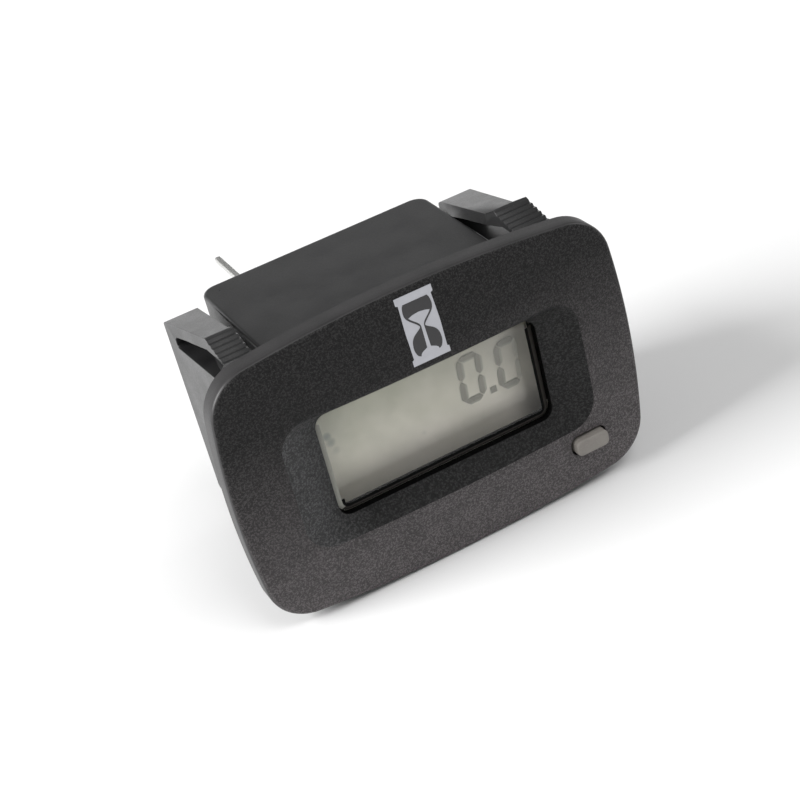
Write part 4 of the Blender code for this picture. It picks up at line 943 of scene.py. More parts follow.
@dataclass
class Bezel:
    """The crowned front moulding, its funnel, window and button hole, and the print on it."""

    finish: Finish
    rim_finish: Finish
    funnel_finish: Finish
    wall_shade_finish: Finish
    white: Finish
    dark: Finish
    outer: RoundedForm = RoundedForm(22.5 * MM, 15.45 * MM, 5.0 * MM, 0.0, 1.46 * MM, 1.73 * MM)
    rim: float = 2.25 * MM
    crown: float = 1.5 * MM
    edge_round: float = 0.45 * MM
    window: RoundedForm = WINDOW
    funnel: RoundedForm = RoundedForm(16.4 * MM, 7.175 * MM, 3.0 * MM, -0.28 * MM)
    funnel_round: float = 0.22 * MM
    window_edge_y: float = -1.6 * MM
    rim_bands: int = 5
    edge_turns: int = 6
    face_bands: int = 16
    lip_bands: int = 4
    wall_bands: int = 5
    wall_slack: float = 0.15 * MM
    seat_y: float = -0.8 * MM
    step_y: float = -0.15 * MM
    seat_lap: float = 0.95 * MM
    cutout: tuple[float, float] = (18.4 * MM, 12.05 * MM)
    button: Bar = BUTTON_BAR
    button_y: float = -2.75 * MM
    button_gap: float = 0.2 * MM
    button_room: float = 0.6 * MM
    tongue_half: float = 10.0 * MM
    tongue_z: tuple[float, float] = (9.77 * MM, 10.47 * MM)
    tongue_front: float = -0.4 * MM
    hole_mm: tuple[tuple[float, float], ...] = ((-1.2, 0.5), (-0.35, 0.22), (0.12, 0.02), (0.2, 0.0), (4.0, 0.0))
    icon_x: float = 0.38 * MM
    icon_half_width: float = 2.03 * MM
    icon_span: tuple[float, float] = (7.59 * MM, 14.67 * MM)

    def depth(self, x: float, z: float) -> float:
        """Depth of the crowned front face at a point."""
        bow = max(1 - (x / self.outer.half_width) ** 2, 0.0) * max(1 - (z / self.outer.half_height) ** 2, 0.0)
        return -(self.rim + self.crown * bow)

    def on_front(self, outline: Outline, sink: float = 0.0) -> list[Point]:
        """An outline laid on the crowned face, or behind it."""
        return [(x, self.depth(x, z) + sink, z) for x, z in outline]

    def rings(self) -> list[list[Point]]:
        """The rings of the moulding's section.

        Returns:
            The rings, from the back of its rim over the face and through the window to its stepped back.
        """
        outer = self.outer
        rings = [at_depth(outer.outline(), 0.0), at_depth(outer.outline(), -self.rim / 2)]
        for i in range(self.edge_turns + 1):
            angle = math.pi / 2 * i / self.edge_turns
            inset = self.edge_round * (1 - math.cos(angle))
            rings.append(self.on_front(outer.inset(inset), self.edge_round * (1 - math.sin(angle))))
        face_edge = outer.inset(self.edge_round)
        mouth = self.funnel.inset(-self.funnel_round)
        for i in range(1, self.face_bands + 1):
            rings.append(self.on_front([between(p, q, i / self.face_bands) for p, q in zip(face_edge, mouth)]))
        # The funnel's lip turns over from the face to the sloped wall
        for i in range(1, self.lip_bands + 1):
            share = i / self.lip_bands
            lip = self.funnel.inset(-self.funnel_round * (1 - share))
            rings.append(self.on_front(lip, self.funnel_round * 0.55 * share ** 1.5))
        top, foot = rings[-1], at_depth(self.window.inset(-self.wall_slack), self.window_edge_y - 0.1 * MM)
        for i in range(1, self.wall_bands + 1):
            rings.append([between(p, q, i / self.wall_bands) for p, q in zip(top, foot)])
        low = self.window.outline()
        rings.append(at_depth(self.window.inset(-0.03 * MM), self.window_edge_y - 0.03 * MM))
        rings.append(at_depth(low, self.window_edge_y + 0.08 * MM))
        rings.append(at_depth(low, self.seat_y))
        seat = RoundedForm(self.window.half_width + self.seat_lap, self.window.half_height + self.seat_lap,
                           self.window.corner + self.seat_lap, self.window.centre_z).outline()
        rings += [at_depth(seat, self.seat_y), at_depth(seat, self.step_y)]
        land = RoundedForm(*self.cutout, 0.8 * MM).outline()
        rings += [at_depth(land, self.step_y), at_depth(land, 0.0)]
        return rings

    def face_at(self, band: int) -> BezelFace:
        """The part of the surface that a band of the moulding belongs to.

        Args:
            band: The band's number, in the order of the rings.

        Returns:
            Its part of the surface. The bands behind the window's edge take the wall's painted shade.
        """
        # Two bands of the rim lie before the edge's turn
        funnel = 2 + self.edge_turns + 1 + self.face_bands
        if band < self.rim_bands:
            return BezelFace.RIM
        if band < funnel:
            return BezelFace.FRONT
        return BezelFace.FUNNEL if band < funnel + self.lip_bands + self.wall_bands else BezelFace.WALL

    def build_moulding(self) -> bpy.types.Object:
        """Builds the moulding with its button hole and the tongues that enter the housing.

        Returns:
            The piece.
        """
        rings = self.rings()
        bm = skin(rings, loop=True)
        for i, f in enumerate(bm.faces):
            f.material_index = self.face_at(i // len(rings[0])).value
        finishes = (self.finish, self.rim_finish, self.funnel_finish, self.wall_shade_finish)
        piece = as_object("bezel_moulding", bm, *(finish.make() for finish in finishes))
        button, y = self.button, self.button_y
        carve(piece, skin([at_depth(button.outline(self.button_gap + grow * MM), y + deep * MM)
                           for deep, grow in self.hole_mm]))
        lap = self.button_gap + self.button_room
        x, z, across, up = button.x, button.z, button.width / 2, button.height / 2
        carve(piece, rounded_block((x - across - lap, y + 1.0 * MM, z - up - lap),
                                   (x + across + lap, 1.0 * MM, z + up + lap), 0.1 * MM))
        _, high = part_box("bezel")
        for side in (-1, 1):
            lower, upper = sorted(side * z for z in self.tongue_z)
            tongue = rounded_block((-self.tongue_half, self.tongue_front, lower), (self.tongue_half, high.y, upper),
                                   0.1 * MM)
            carve(piece, tongue, Work.JOIN)
        return place(piece, Body.CASE, Slot.BEZEL, "bezel")

    def printed(self, name: str, right: Outline, lift: float, ink: bpy.types.Material) -> bpy.types.Object:
        """Prints a symmetric shape of the sign on the crowned face.

        Args:
            name: The piece's name.
            right: Its right side from the bottom up, as shares of the sign's half width and height.
            lift: How far it stands ahead of the face.
            ink: Its material.

        Returns:
            The printed piece.
        """
        low, high = self.icon_span
        path = [right[0]]
        for (u0, v0), (u1, v1) in zip(right, right[1:]):
            steps = max(1, math.ceil((v1 - v0) / 0.06))
            path += [(u0 + (u1 - u0) * i / steps, v0 + (v1 - v0) * i / steps) for i in range(1, steps + 1)]
        bm = bmesh.new()
        columns = 8
        rows = [[bm.verts.new((self.icon_x + self.icon_half_width * u * (2 * k / columns - 1), 0.0,
                               low + (high - low) * v)) for k in range(columns + 1)] for u, v in path]
        for lower, upper in zip(rows, rows[1:]):
            for k in range(columns):
                bm.faces.new((lower[k], lower[k + 1], upper[k + 1], upper[k]))
        solid = bmesh.ops.extrude_face_region(bm, geom=list(bm.faces))
        back = {v for v in solid["geom"] if isinstance(v, bmesh.types.BMVert)}
        for v in bm.verts:
            v.co.y = self.depth(v.co.x, v.co.z) - lift + (0.02 * MM if v in back else 0.0)
        return place(as_object(name, bm, ink), Body.CASE, Slot.BEZEL)

    def build_print(self) -> None:
        """Prints the hourglass sign: a white card with bars, a dark glass, and white sand in it."""
        white, dark = self.white.make(), self.dark.make()
        card = [(1.0, 0.0), (1.0, 0.085), (0.9, 0.1), (0.93, 0.5), (0.88, 0.89), (1.0, 0.905), (1.0, 1.0)]
        self.printed("hourglass_card", card, 0.025 * MM, white)
        glass = smooth_path([(0.5, 0.105), (0.64, 0.13), (0.73, 0.19), (0.755, 0.26), (0.7, 0.35), (0.54, 0.415),
                             (0.26, 0.47), (0.14, 0.503), (0.2, 0.535), (0.32, 0.57), (0.6, 0.645), (0.73, 0.7),
                             (0.765, 0.76), (0.73, 0.84), (0.65, 0.885)], 5)
        self.printed("hourglass_glass", glass, 0.04 * MM, dark)
        sand = smooth_path([(0.07, 0.49), (0.1, 0.535), (0.2, 0.575), (0.45, 0.64), (0.57, 0.68)], 4)
        self.printed("hourglass_upper_sand", sand + [(0.35, 0.701), (0.02, 0.712)], 0.055 * MM, white)
        self.printed("hourglass_stream", [(0.1, 0.17), (0.085, 0.3), (0.075, 0.51)], 0.06 * MM, white)
        mound = smooth_path([(0.49, 0.095), (0.47, 0.125), (0.4, 0.15), (0.27, 0.17), (0.1, 0.19)], 4)
        self.printed("hourglass_lower_sand", mound, 0.055 * MM, white)

    def build(self) -> None:
        """Builds the moulding and its print."""
        self.build_moulding()
        self.build_print()


# Display


class PlateFace(Enum):
    """The parts of the clear plate's surface, in the order of their materials: clear, painted shade on the edge,
    painted highlight on the bevel and on the left side.
    """

    CLEAR = 0
    EDGE = 1
    BEVEL = 2
    LEFT = 3


@dataclass
class Display:
    """The clear window, the digits in the cell and the milky layer behind them."""

    lens: Finish
    lens_edge_shade: Finish
    lens_bevel_highlight: Finish
    lens_left_highlight: Finish
    film: Finish
    back: Finish
    segment: Finish
    faint: Finish
    shade: Finish
    outer_shadow: Finish
    mask: Finish
    window: RoundedForm = WINDOW
    flange_lap: float = 0.65 * MM
    pad_gap: float = 0.08 * MM
    bevel: float = 0.5 * MM
    shadow_line: float = 0.32 * MM
    depths: tuple[float, float, float] = (0.4 * MM, -0.5 * MM, -1.15 * MM)
    bevel_depth: float = 0.27 * MM
    face_depth: float = 0.01 * MM
    digit_y: float = 1.86 * MM
    digit_height: float = 5.4 * MM
    digit_width: float = 2.65 * MM
    stroke: float = 0.52 * MM
    digit_places: tuple[tuple[float, float], ...] = ((5.8 * MM, 0.45 * MM), (10.15 * MM, 0.25 * MM))
    point_place: tuple[float, float] = (7.95 * MM, -2.0 * MM)
    point_half: float = 0.28 * MM
    shadow_drop: float = 0.1 * MM
    mask_opening: RoundedForm = RoundedForm(12.5 * MM, 6.05 * MM, 0.5 * MM, 0.25 * MM, corner_steps=14)
    mask_y: tuple[float, float] = (0.44 * MM, 0.62 * MM)
    layer_low: Point = (-12.85 * MM, 1.965 * MM, -7.2 * MM)
    layer_high: Point = (12.85 * MM, 1.985 * MM, 7.4 * MM)

    def grown(self, by: float) -> RoundedForm:
        """The window's form, grown all round."""
        w = self.window
        return RoundedForm(w.half_width + by, w.half_height + by, w.corner + by, w.centre_z)

    def face_at(self, band: int, middle: Vector) -> PlateFace:
        """The part of the surface that a face of the plate belongs to: painted shade below and at the right, a
        painted highlight at the left.

        Args:
            band: The face's band, counted from the back.
            middle: The face's middle.

        Returns:
            Its part of the surface.
        """
        side, bevel, line = 2, 3, 4
        if band < side or band > line or middle.z > 4.9 * MM:
            return PlateFace.CLEAR
        if middle.x < -self.window.half_width + self.window.corner / 2 and middle.z > -5.2 * MM:
            return PlateFace.LEFT if band < line else PlateFace.CLEAR
        # Painted highlight along the bevel
        if band == bevel:
            return PlateFace.BEVEL
        # Painted shade: the side wall, and the shadow line below and at the right, go black
        dark = band == side or middle.z < -4.0 * MM or middle.x > 11.0 * MM
        return PlateFace.EDGE if dark else PlateFace.CLEAR

    def build_lens(self) -> None:
        """Builds the clear plate: a flange behind the bezel and a bevelled pad in the opening."""
        back, front, pad = self.depths
        flange = self.grown(self.flange_lap).outline()
        edge = self.grown(-self.pad_gap).outline()
        inner = self.grown(-self.pad_gap - self.bevel).outline()
        face = self.grown(-self.pad_gap - self.bevel - self.shadow_line).outline()
        rings = [at_depth(flange, back), at_depth(flange, front), at_depth(edge, front),
                 at_depth(edge, pad + self.bevel_depth), at_depth(inner, pad + self.face_depth),
                 at_depth(face, pad)]
        bm = skin(rings)
        bm.faces.ensure_lookup_table()
        for i, f in enumerate(bm.faces):
            f.material_index = self.face_at(i // len(flange), f.calc_center_median()).value
        edges = (finish.make() for finish in (self.lens_edge_shade, self.lens_bevel_highlight, self.lens_left_highlight))
        piece = as_object("window_lens", bm, self.lens.make(), *edges, crease=12.0)
        place(piece, Body.CASE, Slot.LENS, "lens")

    def segments(self, centre: tuple[float, float], stroke: float) -> list[Outline]:
        """The six lit segments of a nought, each a bar with pointed ends.

        Args:
            centre: The digit's middle.
            stroke: The bars' width.

        Returns:
            The segments' outlines.
        """
        cx, cz = centre
        x, z, gap = (self.digit_width - self.stroke) / 2, (self.digit_height - self.stroke) / 2, 0.07 * MM
        lean = 0.06
        corners = (((-x, z), (x, z)), ((-x, -z), (x, -z)), ((-x, 0.0), (-x, z)), ((-x, -z), (-x, 0.0)),
                   ((x, 0.0), (x, z)), ((x, -z), (x, 0.0)))
        bars = []
        for start, end in corners:
            along = (Vector(end) - Vector(start)).normalized()
            across = Vector((-along.y, along.x)) * stroke / 2
            a, b, tip = Vector(start) + along * gap, Vector(end) - along * gap, along * stroke / 2
            points = (a, a + tip - across, b - tip - across, b, b - tip + across, a + tip + across)
            bars.append([(cx + p.x + lean * p.y, cz + p.y) for p in points])
        return bars

    def flat_shape(self, name: str, outlines: list[Outline], y: float, ink: bpy.types.Material) -> None:
        """Makes thin flat shapes of the display at one depth, as one piece.

        Args:
            name: The piece's name.
            outlines: The shapes.
            y: Their depth.
            ink: Their material.
        """
        whole = bmesh.new()
        for outline in outlines:
            bm = skin([at_depth(outline, y), at_depth(outline, y - 0.02 * MM)])
            mesh = bpy.data.meshes.new("shape")
            bm.to_mesh(mesh)
            bm.free()
            whole.from_mesh(mesh)
            bpy.data.meshes.remove(mesh)
        place(as_object(name, whole, ink), Body.CASE, Slot.FILM)

    def build_digits(self) -> None:
        """Builds the two noughts and the point between them, with painted soft shadows on the layer behind."""
        ink, faint, shade, outer_shadow = (finish.make() for finish in (self.segment, self.faint, self.shade, self.outer_shadow))
        names = ("top", "bottom", "upper_left", "lower_left", "upper_right", "lower_right")
        x, z = self.point_place
        half, drop = self.point_half, self.shadow_drop
        for digit, (cx, cz) in zip(("tens", "tenths"), self.digit_places):
            for name, outline in zip(names, self.segments((cx, cz), self.stroke)):
                # The right segments of the tenths take a paler ink and no painted shadow, so that they fade into the
                # painted shade at the window's right
                weak = digit == "tenths" and name.endswith("right")
                self.flat_shape(f"segment_{digit}_{name}", [outline], self.digit_y, faint if weak else ink)
            # Painted shadows: paler, grown copies of the segments, dropped down and to the right, just ahead of the
            # layer
            for name, grow, back, finish in (("shade", 0.16 * MM, 0.05 * MM, shade),
                                             ("outer_shadow", 0.36 * MM, 0.09 * MM, outer_shadow)):
                bars = self.segments((cx + drop, cz - drop), self.stroke + grow)[:4 if digit == "tenths" else 6]
                self.flat_shape(f"segment_{name}_{digit}", bars, self.digit_y + back, finish)
        for name, size, back, finish in (("point", half, 0.0, ink), ("point_shade", half * 1.35, 0.05 * MM, shade)):
            square = [(x - size, z - size), (x + size, z - size), (x + size, z + size), (x - size, z + size)]
            self.flat_shape("segment_" + name, [square], self.digit_y + back, finish)

    def build_mask(self) -> None:
        """Builds the black mask behind the window, which hides what lies round the lit area."""
        outer = self.grown(self.flange_lap - 0.05 * MM).outline()
        inner = self.mask_opening.outline()
        front, back = self.mask_y
        rings = [at_depth(outer, front), at_depth(inner, front), at_depth(inner, back), at_depth(outer, back)]
        place(as_object("window_mask", skin(rings, loop=True), self.mask.make()), Body.CASE, Slot.BEZEL)

    def build_layer(self) -> None:
        """Builds the milky layer of the cell, which reaches past the window all round."""
        layer = rounded_block(self.layer_low, self.layer_high, 0.005 * MM)
        place(as_object("display_layer", layer, self.back.make()), Body.CASE, Slot.FILM)

    def build_front_sheet(self) -> None:
        """Builds the front glass with its polariser bonded on, whose faces take the polariser's grey."""
        low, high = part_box("lcd_front_glass")
        front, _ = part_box("lcd_front_polariser")
        sheet = rounded_block((low.x, front.y, low.z), tuple(high), 0.05 * MM)
        place(as_object("display_front_sheet", sheet, self.film.make()), Body.CASE, Slot.GLASS,
              "lcd_front_polariser", "lcd_front_glass")

    def build(self) -> None:
        """Builds the window and the digits, and dresses the cell's layers."""
        self.build_lens()
        self.build_digits()
        self.build_layer()
        self.build_front_sheet()
        self.build_mask()
        dress_node("lcd_rear_glass", self.back)
        dress_node("lcd_reflector", self.back)


# Button


@dataclass
class ResetButton:
    """The reset bar: a softly rounded cap on the CAD button's flange and stem."""

    finish: Finish
    form: Bar = BUTTON_BAR
    face_y: float = -3.65 * MM
    edge: float = 0.24 * MM
    edge_turns: int = 5
    flange_y: tuple[float, float] = (-1.45 * MM, -0.85 * MM)
    flange_half: tuple[float, float] = (2.5 * MM, 1.5 * MM)
    stem_x: float = 16.1 * MM
    stem_y: tuple[float, float] = (-1.4 * MM, -0.86 * MM)
    stem_half: float = 0.7 * MM

    def build(self) -> None:
        """Builds the cap with its flange, and the stem that reaches up to the switch."""
        x, z, half = self.form.x, self.form.z, self.stem_half
        front, back = self.flange_y
        _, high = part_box("reset_button")
        rings = [at_depth(self.form.outline(-self.edge * 1.8), self.face_y)]
        for i in range(self.edge_turns + 1):
            angle = math.pi / 2 * i / self.edge_turns
            rings.append(at_depth(self.form.outline(-self.edge * (1 - math.sin(angle))),
                                  self.face_y + self.edge * (1 - math.cos(angle))))
        rings.append(at_depth(self.form.outline(), back))
        piece = as_object("reset_button_cap", skin(rings), self.finish.make())
        across, up = self.flange_half
        left, right = self.stem_x - half, self.stem_x + half
        stem_front, stem_back = self.stem_y
        for block in (
            rounded_block((x - across, front, z - up), (x + across, back, z + up), 0.08 * MM),
            rounded_block((left, stem_front, z), (right, stem_back, high.z), 0.05 * MM),
            rounded_block((left, stem_front, high.z - half - half), (right, high.y, high.z), 0.05 * MM),
        ):
            carve(piece, block, Work.JOIN)
        place(piece, Body.BUTTON, Slot.BUTTON, "reset_button")


# CAD nodes that stay


def dress_node(node: str, finish: Finish, bevel_mm: float = 0.0, crease: float = 35.0) -> None:
    """Gives a CAD node its finish, and rounds its edges where asked.

    Args:
        node: The node's name.
        finish: Its finish.
        bevel_mm: How wide the rounded edges are.
        crease: The angle in degrees above which an edge is rounded.
    """
    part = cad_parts[node]
    material = finish.make()
    for slot in part.material_slots:
        slot.link = "OBJECT"
        slot.material = material
    if bevel_mm:
        weld = part.modifiers.new("weld", "WELD")
        weld.merge_threshold = 0.002 * MM
        bevel = part.modifiers.new("edges", "BEVEL")
        bevel.width, bevel.segments = bevel_mm * MM, 2
        bevel.limit_method, bevel.angle_limit = "ANGLE", math.radians(crease)
        bevel.harden_normals = False
    LOG.info("%s keeps its shape in %s", node, material.name)


@dataclass
class Housing:
    """The hollow box with a serrated snap wing on each side, and the back cover."""

    finish: Finish
    cover: Finish
    half_width: float = 13.4 * MM
    half_height: float = 11.4 * MM
    front_y: float = 0.3 * MM
    back_y: float = 22.5 * MM
    back_corner: float = 1.7 * MM
    edge: float = 0.4 * MM
    wing_x: tuple[float, float] = (14.5 * MM, 18.3 * MM)
    wing_edge: float = 0.05 * MM
    wing_back: tuple[float, float] = (21.0 * MM, 10.6 * MM)
    peak: tuple[float, float] = (6.8 * MM, 14.2 * MM)
    tip: tuple[float, float] = (0.9 * MM, 12.75 * MM)
    pitch: float = 0.78 * MM
    tooth: float = 0.24 * MM
    slot_end: tuple[float, float] = (17.9 * MM, 8.65 * MM)
    slot_slope: float = 0.125
    slot_blunt: float = 0.3 * MM
    slot_nose: tuple[tuple[float, float], ...] = ((0.0, 0.3 * MM), (-0.05 * MM, 1.0 * MM), (-0.35 * MM, 1.3 * MM))
    root_round: float = 1.6 * MM
    tip_root: float = 12.42 * MM
    arm_inside_mm: tuple[tuple[float, float], ...] = ((14.05, 10.96), (11.4, 11.62), (8.8, 12.31), (7.4, 12.68),
                                                      (5.4, 12.82), (3.0, 12.68))
    block_back: float = 11.2 * MM
    block_sink: float = 0.15 * MM
    join_x: tuple[float, float] = (12.75 * MM, 16.4 * MM)
    web_y: tuple[float, float] = (2.0 * MM, 19.3 * MM)
    web_half: float = 6.0 * MM
    mouth: RoundedForm = RoundedForm(17.1 * MM, 9.2 * MM, 0.8 * MM, 0.27 * MM, corner_steps=5)
    mouth_y: tuple[float, float] = (-1.0 * MM, 8.2 * MM)
    slots: RoundedForm = RoundedForm(10.3 * MM, 10.77 * MM, 0.3 * MM, corner_steps=4)
    slots_y: tuple[float, float] = (-1.1 * MM, 2.7 * MM)
    cavity: RoundedForm = RoundedForm(12.1 * MM, 10.1 * MM, 0.8 * MM, corner_steps=5)
    cavity_y: tuple[float, float] = (7.9 * MM, 23.5 * MM)
    ledge: RoundedForm = RoundedForm(12.5 * MM, 10.5 * MM, 0.8 * MM, corner_steps=5)
    ledge_y: tuple[float, float] = (20.6 * MM, 23.6 * MM)
    lean_start: float = 1.1 * MM
    lean_slope: float = 0.2
    leans: dict[int, tuple[tuple[float, float], ...]] = field(
        default_factory=lambda: {-1: ((0.8, -0.4), (0.4, -0.4)), 1: ((-0.85, -1.4), (-0.1, 0.0))})

    def arm_top(self, y: float) -> float:
        """Height of the serrated face at a depth."""
        return self.tip[1] + (self.peak[1] - self.tip[1]) * (y - self.tip[0]) / (self.peak[0] - self.tip[0])

    def slot_floor(self, y: float) -> float:
        """Height of the slot's lower edge at a depth."""
        return self.slot_end[1] + self.slot_slope * (self.slot_end[0] - y)

    def sweep_up(self, step: float = 0.0) -> Outline:
        """The slot's lower edge where it curves up to the bezel.

        Args:
            step: How far it is lowered.

        Returns:
            Its points, from the bezel back.
        """
        start = self.front_y + self.root_round
        centre = (start, self.slot_floor(start) + self.root_round - step)
        quarter = arc(centre, self.root_round, math.radians(225), math.radians(270), 8)
        return [(self.front_y, quarter[0][1])] + quarter

    def teeth(self) -> Outline:
        """The saw teeth of an arm.

        Returns:
            Their points, from the arm's tip to its peak.
        """
        count = int((self.peak[0] - self.tip[0]) / self.pitch)
        points = []
        for i in range(count):
            start = self.tip[0] + i * self.pitch
            root = start + self.pitch * 0.75
            points.append((start, self.arm_top(start)))
            points.append((root, self.arm_top(root) - self.tooth))
        last = self.tip[0] + count * self.pitch
        return points + [(last, self.arm_top(last))]

    def wing_outline(self) -> Outline:
        """A wing from the side.

        Returns:
            The outline of its side plate, its slots, and its snap arms above and below.
        """
        back_y, back_z = self.wing_back
        peak_y, peak_z = self.peak
        slope = (back_z - peak_z) / (back_y - peak_y)
        upper = self.sweep_up()
        end_y, end_z = self.slot_end
        upper.append((end_y - self.slot_blunt, self.slot_floor(end_y - self.slot_blunt)))
        upper += [(end_y + back, end_z + up) for back, up in self.slot_nose]
        upper += [(y * MM, z * MM) for y, z in self.arm_inside_mm]
        upper += [(self.tip[0], self.tip_root)] + self.teeth() + [(peak_y, peak_z)]
        for y in (peak_y + 0.35 * MM, (peak_y + back_y) / 2, back_y - 0.8 * MM):
            upper.append((y, peak_z + slope * (y - peak_y)))
        upper += list(reversed(arc((back_y - 0.5 * MM, back_z - 0.5 * MM), 0.5 * MM, 0.0, math.radians(76), 4)))
        return [(y, -z) for y, z in upper] + list(reversed(upper))

    def block_outline(self) -> Outline:
        """The solid behind a wing's front, from the side.

        Returns:
            Its outline.
        """
        upper = self.sweep_up(self.block_sink)
        upper.append((self.block_back, self.slot_floor(self.block_back) - self.block_sink))
        return [(y, -z) for y, z in upper] + list(reversed(upper))

    def wing_point(self, side: int) -> Callable[[float, float, float], Point]:
        """Makes the function that sets a wing's points.

        Args:
            side: -1 for the left wing and 1 for the right one.

        Returns:
            The function. It leans and thins the ramps and the arms toward their front ends.
        """
        ramp, teeth = self.leans[side]
        inner, outer = self.wing_x
        back_y, (peak_y, _) = self.wing_back[0], self.peak

        def point(y: float, z: float, x: float) -> Point:
            """Sets one point of the wing.

            Args:
                y: Its depth.
                z: Its height.
                x: Its place across the wing's thickness.

            Returns:
                The point.
            """
            share = (x - inner) / (outer - inner)
            if abs(z) > self.slot_end[1] + self.lean_start + self.lean_slope * max(self.slot_end[0] - y, 0.0):
                near = min(max((back_y - y) / (back_y - peak_y), 0.0), 1.0)
                lean = ramp if y > peak_y + 0.2 * MM else teeth
                x += near * (lean[0] * (1 - share) + lean[1] * share) * MM
            return side * x, y, z

        return point

    def side_parts(self, side: int) -> list[bmesh.types.BMesh]:
        """A wing with the block and the web that join it to the box.

        Args:
            side: -1 for the left side and 1 for the right one.

        Returns:
            The three meshes.
        """
        near, far = sorted(side * x for x in self.join_x)
        (start, end), half = self.web_y, self.web_half
        block = pillow(self.block_outline(), near, far, 0.02 * MM, lambda u, v, w: (w, u, v))
        web = rounded_block((near, start, -half), (far, end, half), 0.1 * MM)
        wing = pillow(self.wing_outline(), *self.wing_x, self.wing_edge, self.wing_point(side), 4)
        return [wing, block, web]

    def cut_mouth(self, piece: bpy.types.Object) -> None:
        """Cuts the opening for the display through a piece."""
        carve(piece, skin([at_depth(self.mouth.outline(), y) for y in self.mouth_y]), crease=30.0)

    def box(self) -> bpy.types.Object:
        """Builds the hollow box, open in front and behind.

        Returns:
            The box.
        """
        x, y = self.half_width - self.back_corner, self.back_y - self.back_corner
        outline = ([(self.half_width, self.front_y)] + arc((x, y), self.back_corner, 0.0, math.pi / 2, 10)
                   + arc((-x, y), self.back_corner, math.pi / 2, math.pi, 10)
                   + [(-self.half_width, self.front_y)])
        body = pillow(outline, -self.half_height, self.half_height, self.edge, lambda u, v, w: (u, v, w), 6)
        piece = as_object("housing_moulding", body, self.finish.make())
        for form, depths in ((self.slots, self.slots_y), (self.cavity, self.cavity_y), (self.ledge, self.ledge_y)):
            carve(piece, skin([at_depth(form.outline(), y) for y in depths]), crease=30.0)
        return piece

    def build(self) -> None:
        """Builds the housing, whose mouth is cut through every part, and dresses the cover."""
        piece = self.box()
        self.cut_mouth(piece)
        whole = bmesh.new()
        whole.from_mesh(piece.data)
        for part in self.side_parts(-1) + self.side_parts(1):
            other = as_object("part", part, crease=30.0)
            self.cut_mouth(other)
            whole.from_mesh(other.data)
            bpy.data.objects.remove(other, do_unlink=True)
        whole.to_mesh(piece.data)
        whole.free()
        piece.data.shade_smooth()
        piece.data.set_sharp_from_angle(angle=math.radians(30.0))
        place(piece, Body.CASE, Slot.CASE, "housing")
        dress_node("back_cover", self.cover, 0.12)


@dataclass
class Terminals:
    """The three tinned pins."""

    finish: Finish
    names: tuple[str, ...] = ("upper", "middle", "lower")

    def build(self) -> None:
        """Dresses the pins with rounded edges."""
        for name in self.names:
            dress_node("terminal_pin_" + name, self.finish, 0.08)


@dataclass
class Electronics:
    """Everything inside the case: holder, contact strips, board and its parts."""

    def build(self) -> None:
        """Dresses each node with the finish of the real part."""
        resin = MouldedPlastic("chip_resin_black", Slot.CHIP, (0.018, 0.018, 0.019), (0.05, 0.05, 0.05), 0.5,
                               0.12, 0.01)
        zebra = StripedRubber("zebra_silicone", Slot.ZEBRA, (0.52, 0.27, 0.25), (0.03, 0.03, 0.03))
        screw = Metal("screw_zinc", Slot.TIN, (0.62, 0.62, 0.6), 0.32, (1.0, 1.0, 1.0), 0.2)
        finishes: dict[str, Finish] = {
            "lcd_holder": MouldedPlastic("holder_ivory", Slot.HOLDER, (0.66, 0.65, 0.61), (0.76, 0.76, 0.73), 0.45,
                                         0.3, 0.006),
            "zebra_strip_upper": zebra,
            "zebra_strip_lower": zebra,
            "circuit_board": SolderMask("board_green", Slot.BOARD, (0.025, 0.16, 0.055), (0.05, 0.27, 0.09)),
            "microcontroller": resin,
            "memory_chip": resin,
            "rectifier_diode": BandedCoat("diode_black", Slot.CHIP, (0.02, 0.02, 0.022),
                                          ((1.7, (0.6, 0.6, 0.6)),), 5.45),
            "surge_suppressor": MouldedPlastic("suppressor_blue", Slot.SUPPRESSOR, (0.04, 0.11, 0.36),
                                               (0.1, 0.2, 0.5), 0.3, 0.5, 0.02, 1.5),
            "input_capacitor": Metal("capacitor_can", Slot.CAN, (0.6, 0.61, 0.63), 0.3),
            "timing_crystal": Metal("crystal_can", Slot.CAN, (0.66, 0.66, 0.68), 0.26, (1.0, 1.0, 0.08)),
            "board_screw_left": screw,
            "board_screw_right": screw,
            "switch_body": MouldedPlastic("switch_black", Slot.SWITCH, (0.03, 0.03, 0.032), (0.08, 0.08, 0.08),
                                          0.4, 0.2, 0.01),
            "switch_plunger": MouldedPlastic("plunger_brown", Slot.BUTTON, (0.28, 0.25, 0.22), (0.4, 0.37, 0.33),
                                             0.45, 0.2, 0.01),
        }
        bands = ((-1.9, (0.35, 0.13, 0.04)), (-0.9, (0.02, 0.02, 0.02)), (0.1, (0.6, 0.4, 0.03)),
                 (1.9, (0.55, 0.38, 0.12)))
        for name in ("upper", "lower"):
            finishes["dropping_resistor_" + name] = BandedCoat("resistor_beige", Slot.RESISTOR, (0.55, 0.44, 0.3),
                                                               bands, 5.45)
        for i in (1, 2, 3):
            low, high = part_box(f"chip_capacitor_{i}")
            finishes[f"chip_capacitor_{i}"] = PlatedCeramic("ceramic_chip", Slot.CERAMIC, (0.42, 0.33, 0.22),
                                                            (0.75, 0.75, 0.75), (low.x + high.x) / 2 / MM, 0.55)
        for node, finish in finishes.items():
            dress_node(node, finish)


# Studio and camera


